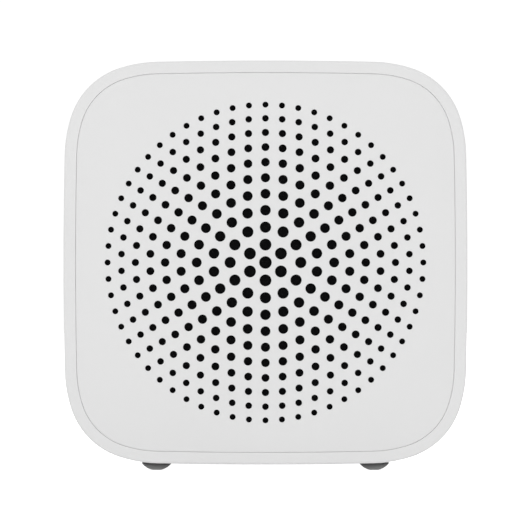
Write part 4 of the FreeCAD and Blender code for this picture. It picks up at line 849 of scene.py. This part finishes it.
screwRows = {
    # name: the node it stands for, the kind of screw, where its four lie, seed
    "cross_head_cover_screws": ("cover_screws", coarseScrew, "corners", 3),
    "cross_head_flange_screws": ("flange_screws", coarseScrew, "corners", 5),
    "cross_head_lid_screws": ("lid_screws", coarseScrew, "sides", 7),
    "cross_head_board_screws": ("board_screws", coarseScrew, "corners", 11),
    "cross_head_key_board_screws": ("key_board_screws", fineScrew, "corners", 13),
}
for name, (node, kind, layout, seed) in screwRows.items():
    low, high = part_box(node)
    standing = node == "key_board_screws"
    halfX = (high.x - low.x) / 2 / mm - kind["head"]
    if standing:
        halfOther, long = (high.y - low.y) / 2 / mm - kind["head"], (high.z - low.z) / mm
    else:
        halfOther, long = (high.z - low.z) / 2 / mm - kind["head"], (high.y - low.y) / mm
    if layout == "corners":
        spots = [(i * halfX, j * halfOther) for i in (-1, 1) for j in (-1, 1)]
    else:
        spots = [(-halfX, 0), (halfX, 0), (0, -halfOther), (0, halfOther)]
    mesh = scattered(name, spots, screwMesh(name + "_one", kind, long - kind["headHeight"]), seed,
                     finishes["steel"])
    middle = (low + high) / 2
    if standing:
        # heads below the board, points up
        mesh.transform(Matrix(((1, 0, 0, middle.x), (0, -1, 0, middle.y),
                               (0, 0, -1, low.z + kind["headHeight"] * mm), (0, 0, 0, 1))))
    else:
        # heads to the rear, points to the front
        upright(mesh, middle.x, middle.z, high.y - kind["headHeight"] * mm)
    made = newObject(name, mesh, "cabinet")
    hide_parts(node)
print("screws made")


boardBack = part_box("main_board")[1].y


def easedBox(name, width, length, height, ease, steps=2, crease=40):
    # a box on XY whose edges are rounded, its foot at Z = 0
    work = bmesh.new()
    bmesh.ops.create_cube(work, size=1.0)
    bmesh.ops.translate(work, vec=(0, 0, 0.5), verts=work.verts)
    bmesh.ops.scale(work, vec=(width * mm, length * mm, height * mm), verts=work.verts)
    bmesh.ops.bevel(work, geom=work.edges, offset=ease * mm, segments=steps, profile=0.5, affect="EDGES")
    return softened(meshOf(work, name), crease)


canLook = {"crimp": 1.3, "crimpDepth": 0.25, "ease": 0.35, "base": 0.8, "sides": 32,
           "skirt": 0.12, "dish": 0.12, "roll": 0.04, "crease": 30}


def canMesh(name, radius, height, settings):
    # an impact-drawn can: a round base band, crimp above it, rolled top edge, shallow dished top
    crimp, deep, ease = settings["crimp"], settings["crimpDepth"], settings["ease"]
    skirt, dish = radius - settings["skirt"], height - settings["dish"]
    profile = [(0, 0), (radius, 0), (radius, settings["base"]), (skirt, settings["base"] + 0.02),
               (skirt, crimp - 0.3), (radius - deep, crimp), (radius - 0.05, crimp + 0.4),
               (radius, crimp + 0.6), (radius, height - ease), (radius - ease * 0.3, height - ease * 0.3),
               (radius - ease, height), (radius - ease * 1.5, height - settings["roll"]),
               (radius - ease * 1.8, dish), (0, dish)]
    vertices, faces = lathe([(reach * mm, level * mm) for reach, level in profile], settings["sides"])
    return softened(cleaned(meshFrom(name, vertices, faces)), settings["crease"])


low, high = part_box("electrolytic_capacitors")
canRadius = (high.z - low.z) / 2 / mm
canSpots = [(low.x / mm + canRadius, 0), (high.x / mm - canRadius, 0)]
cans = scattered("can_capacitors", canSpots, canMesh("one_can", canRadius, (high.y - low.y) / mm, canLook), 2,
                 finishes["capacitor"])
made = newObject("can_capacitors", upright(cans, 0, (low.z + high.z) / 2, low.y), "cabinet")
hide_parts("electrolytic_capacitors")

chokeLook = {"ease": 0.45, "steps": 3}
low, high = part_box("power_chokes")
side = (high.z - low.z) / mm
chokes = scattered("moulded_chokes", [(low.x / mm + side / 2, 0), (high.x / mm - side / 2, 0)],
                   easedBox("one_choke", side, side, (high.y - low.y) / mm, **chokeLook), 2,
                   finishes["chip"], mostTurn=0.0)
made = newObject("moulded_chokes", upright(chokes, 0, (low.z + high.z) / 2, low.y), "cabinet")
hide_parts("power_chokes")

legs = {"width": 0.24, "thick": 0.12, "reach": 0.7, "shoulder": 0.3, "pitch": 0.65, "margin": 0.9,
        "root": 0.1, "slope": 0.12}


def legSpots(width, pitch, margin):
    count = int((width - 2 * margin) / pitch)
    return [(-width / 2 + margin + pitch * (number + 0.5), 0) for number in range(count)]


def legMesh(name, height, settings):
    # a gull-wing leg: out of the body's side, down, and flat on the board; it points to -Y
    wide, thick = settings["width"] / 2, settings["thick"]
    top = height * 0.5
    line = [(settings["root"], top), (-settings["shoulder"], top),
            (-settings["shoulder"] - settings["slope"], thick), (-settings["reach"], thick)]
    vertices, faces = [], []
    for y, z in line:
        for x, lift in ((-wide, 0), (wide, 0), (wide, -thick), (-wide, -thick)):
            vertices.append((x * mm, y * mm, (z + lift) * mm))
    for number in range(len(line) - 1):
        for side in range(4):
            after = (side + 1) % 4
            near, far = number * 4, number * 4 + 4
            faces.append((near + side, near + after, far + after, far + side))
    last = (len(line) - 1) * 4
    faces += [(0, 1, 2, 3), (last + 3, last + 2, last + 1, last)]
    return cleaned(meshFrom(name, vertices, faces), 1e-9)


for chip, name in (("processor", "processor_legs"), ("amplifier_chip", "amplifier_legs")):
    low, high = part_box(chip)
    width = (high.x - low.x) / mm
    work = bmesh.new()
    row = scattered(name + "_row", legSpots(width, legs["pitch"], legs["margin"]),
                    legMesh(name + "_one", (high.y - low.y) / mm, legs), 1, finishes["pin"], mostTurn=0.0)
    for quarter in range(4):
        copy = row.copy()
        copy.transform(Matrix.Translation((0, -width / 2 * mm, 0)))
        copy.transform(Matrix.Rotation(quarter * math.pi / 2, 4, "Z"))
        work.from_mesh(copy)
    mesh = meshOf(work, name)
    mesh.materials.append(finishes["pin"])
    made = newObject(name, upright(mesh, (low.x + high.x) / 2, (low.z + high.z) / 2, boardBack), "cabinet")

passives = {"length": 1.6, "width": 0.8, "height": 0.55, "cap": 0.32, "ease": 0.06, "pitch": 2.4,
            "bodyShare": 0.94}
# free strips of the board, from the middle: left, low, right, high
passiveStrips = [(9.5, -9.5, 24.5, -3.0), (-24.0, 12.5, -9.5, 22.0), (-9.0, -6.5, 4.0, -2.0)]
passiveSpots = []
for left, bottom, right, top in passiveStrips:
    across = int((right - left) / passives["pitch"])
    up = int((top - bottom) / passives["pitch"])
    passiveSpots += [(left + passives["pitch"] * (i + 0.5), -(bottom + passives["pitch"] * (j + 0.5)))
                     for j in range(up) for i in range(across)]
share = passives["bodyShare"]
body = easedBox("one_passive", passives["length"] - 2 * passives["cap"], passives["width"] * share,
                passives["height"] * share, passives["ease"], 1)
caps = bmesh.new()
for way in (-1, 1):
    cap = easedBox("one_cap", passives["cap"], passives["width"], passives["height"], passives["ease"], 1)
    cap.transform(Matrix.Translation((way * (passives["length"] - passives["cap"]) / 2 * mm, 0, 0)))
    caps.from_mesh(cap)
capMesh = meshOf(caps, "passive_caps")
for name, part, finish in (("chip_capacitors", body, "socket"), ("chip_capacitor_ends", capMesh, "can")):
    mesh = scattered(name, passiveSpots, part, 17, finishes[finish], mostTurn=math.pi, step=math.pi / 2)
    made = newObject(name, upright(mesh, 0, middleZ, boardBack), "cabinet")
print("board parts made")


icon = {"size": 2.2, "stroke": 0.42, "lift": 0.02, "height": 0.03}


def bar(x, y, width, height):
    return [(x + across * width / 2, y + up * height / 2)
            for across, up in ((-1, -1), (1, -1), (1, 1), (-1, 1))]


def iconMesh(name, shapes, centre, level, height):
    # each shape is one flat pad of ink with its sides; convex outlines only
    work = bmesh.new()
    for outline in shapes:
        lower, upper = ([work.verts.new((centre[0] + x * mm, centre[1] + y * mm, z)) for x, y in outline]
                        for z in (level, level + height * mm))
        work.faces.new(upper)
        work.faces.new(list(reversed(lower)))
        bridge(work, lower, upper)
    bmesh.ops.recalc_face_normals(work, faces=work.faces)
    return meshOf(work, name)


def bandShapes(x, y, radius, width, first, last, steps=14):
    # a curved stroke, as a row of short four-sided pads
    angles = [first + (last - first) * i / steps for i in range(steps + 1)]
    outer, inner = ([(x + reach * math.cos(angle), y + reach * math.sin(angle)) for angle in angles]
                    for reach in (radius + width / 2, radius - width / 2))
    return [[outer[i], outer[i + 1], inner[i + 1], inner[i]] for i in range(steps)]


def capsule(x, y, width, height, steps=8):
    radius = width / 2
    reach = height / 2 - radius
    points = []
    for sign, start in ((1, 0.0), (-1, math.pi)):
        for i in range(steps + 1):
            angle = start + math.pi * i / steps
            points.append((x + radius * math.cos(angle), y + sign * reach + radius * math.sin(angle)))
    return points


# every outline is in shares of the icon's half width, with one stroke for all
half, line = icon["size"], icon["stroke"]
plusArm = half * 0.8 - line / 2
plusShift = 0.5 * (half * 0.8 + line / 2)
iconShapes = {
    "play_key": [[(-half * 0.95, -half * 0.62), (half * 0.1, 0), (-half * 0.95, half * 0.62)],
                 bar(half * 0.45, 0, line, half * 1.2), bar(half * 0.85, 0, line, half * 1.2)],
    "volume_down_key": [bar(0, 0, half * 1.6, line)],
    "volume_up_key": [bar(0, 0, half * 1.6, line), bar(0, plusShift, line, plusArm),
                      bar(0, -plusShift, line, plusArm)],
    "mute_key": [capsule(0, half * 0.3, half * 0.55, half * 1.1), bar(0, -half * 0.72, line, half * 0.34),
                 bar(0, -half * 0.93, half * 0.8, line),
                 *bandShapes(0, half * 0.12, half * 0.6, line, math.pi * 1.03, math.pi * 1.97)],
}
for key, shapes in iconShapes.items():
    low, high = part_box(key)
    centre = ((low.x + high.x) / 2, (low.y + high.y) / 2)
    ink = iconMesh(key + "_icon", shapes, centre, high.z - icon["lift"] * mm, icon["height"] + icon["lift"])
    ink.materials.append(keyInk)
    made = newObject(key + "_icon", ink, key + "_body")
print("icons made")


studio = {
    "floorSize": 8.0, "floorWhite": "f4f4f4", "speckWhite": "f6f6f6", "speck": 4.0, "floorGloss": 0.7,
    "glow": 0.94, "lift": 0.13, "ambient": 0.74, "backdrop": 1.05,
    # name: place in metres, power, size
    "softboxes": {
        "overhead_softbox": ((-0.25, -0.75, 1.1), 2.4, 0.9),
        "front_softbox": ((0.0, -0.6, 0.12), 0.45, 0.4),
        "rear_softbox": ((0.5, 0.9, 0.9), 2.0, 1.2),
    },
    "lens": 600.0, "sensor": 36.0, "standOff": 1.967, "sideways": -0.1, "drop": 0.56,
    "clip": (0.1, 20),
}


def stageFinish(name, settings):
    # back-lit white acrylic: pale, and a soft grey where the object keeps light off it
    finish, tree, place = startFinish(name)
    speck = addNode(tree, "ShaderNodeTexNoise", None,
                    {"Vector": place, "Scale": settings["speck"], "Detail": 2.0})
    tone = addNode(tree, "ShaderNodeMix", {"data_type": "RGBA"},
                   {"Factor": speck.outputs["Fac"], 6: linear(settings["floorWhite"]),
                    7: linear(settings["speckWhite"])})
    ray = addNode(tree, "ShaderNodeLightPath")
    glow = addNode(tree, "ShaderNodeMapRange", None,
                   {"Value": ray.outputs["Is Camera Ray"],
                    "To Min": settings["lift"], "To Max": settings["glow"]})
    endFinish(tree, {"Base Color": tone.outputs[2], "Roughness": settings["floorGloss"],
                     "Emission Color": linear("ffffff"), "Emission Strength": glow.outputs["Result"]})
    return finish


reach = studio["floorSize"] / 2
floor = newObject("studio_floor", meshFrom("studio_floor", [
    (-reach, -reach, 0), (reach, -reach, 0), (reach, reach, 0), (-reach, reach, 0)], [(0, 1, 2, 3)]))
floor.data.materials.append(stageFinish("floor_white", studio))

world = bpy.data.worlds.new("studio_light")
bpy.context.scene.world = world
world.use_nodes = True
sky = world.node_tree
sky.nodes.clear()
ray = addNode(sky, "ShaderNodeLightPath")
level = addNode(sky, "ShaderNodeMapRange", None,
                {"Value": ray.outputs["Is Camera Ray"],
                 "To Min": studio["ambient"], "To Max": studio["backdrop"]})
glow = addNode(sky, "ShaderNodeBackground", None,
               {"Color": linear("ffffff"), "Strength": level.outputs["Result"]})
addNode(sky, "ShaderNodeOutputWorld", None, {"Surface": glow.outputs[0]})


def softbox(name, place, aim, power, size):
    lamp = bpy.data.lights.new(name, "AREA")
    lamp.shape = "SQUARE"
    lamp.size = size
    lamp.energy = power
    made = newObject(name, lamp)
    made.location = place
    made.rotation_euler = (Vector(aim) - Vector(place)).to_track_quat("-Z", "Y").to_euler()
    return made


for name, (place, power, size) in studio["softboxes"].items():
    softbox(name, place, (0, 0, middleZ), power, size)

camera = bpy.data.cameras.new("camera")
camera.lens = studio["lens"]
camera.sensor_width = studio["sensor"]
camera.clip_start, camera.clip_end = studio["clip"]
cameraObject = newObject("camera", camera)
cameraObject.location = (studio["sideways"] * mm, frontY - studio["standOff"], middleZ - studio["drop"] * mm)
cameraObject.rotation_euler = (math.pi / 2, 0, 0)
bpy.context.scene.camera = cameraObject
bpy.context.scene.view_settings.view_transform = "Standard"
print("stage set")
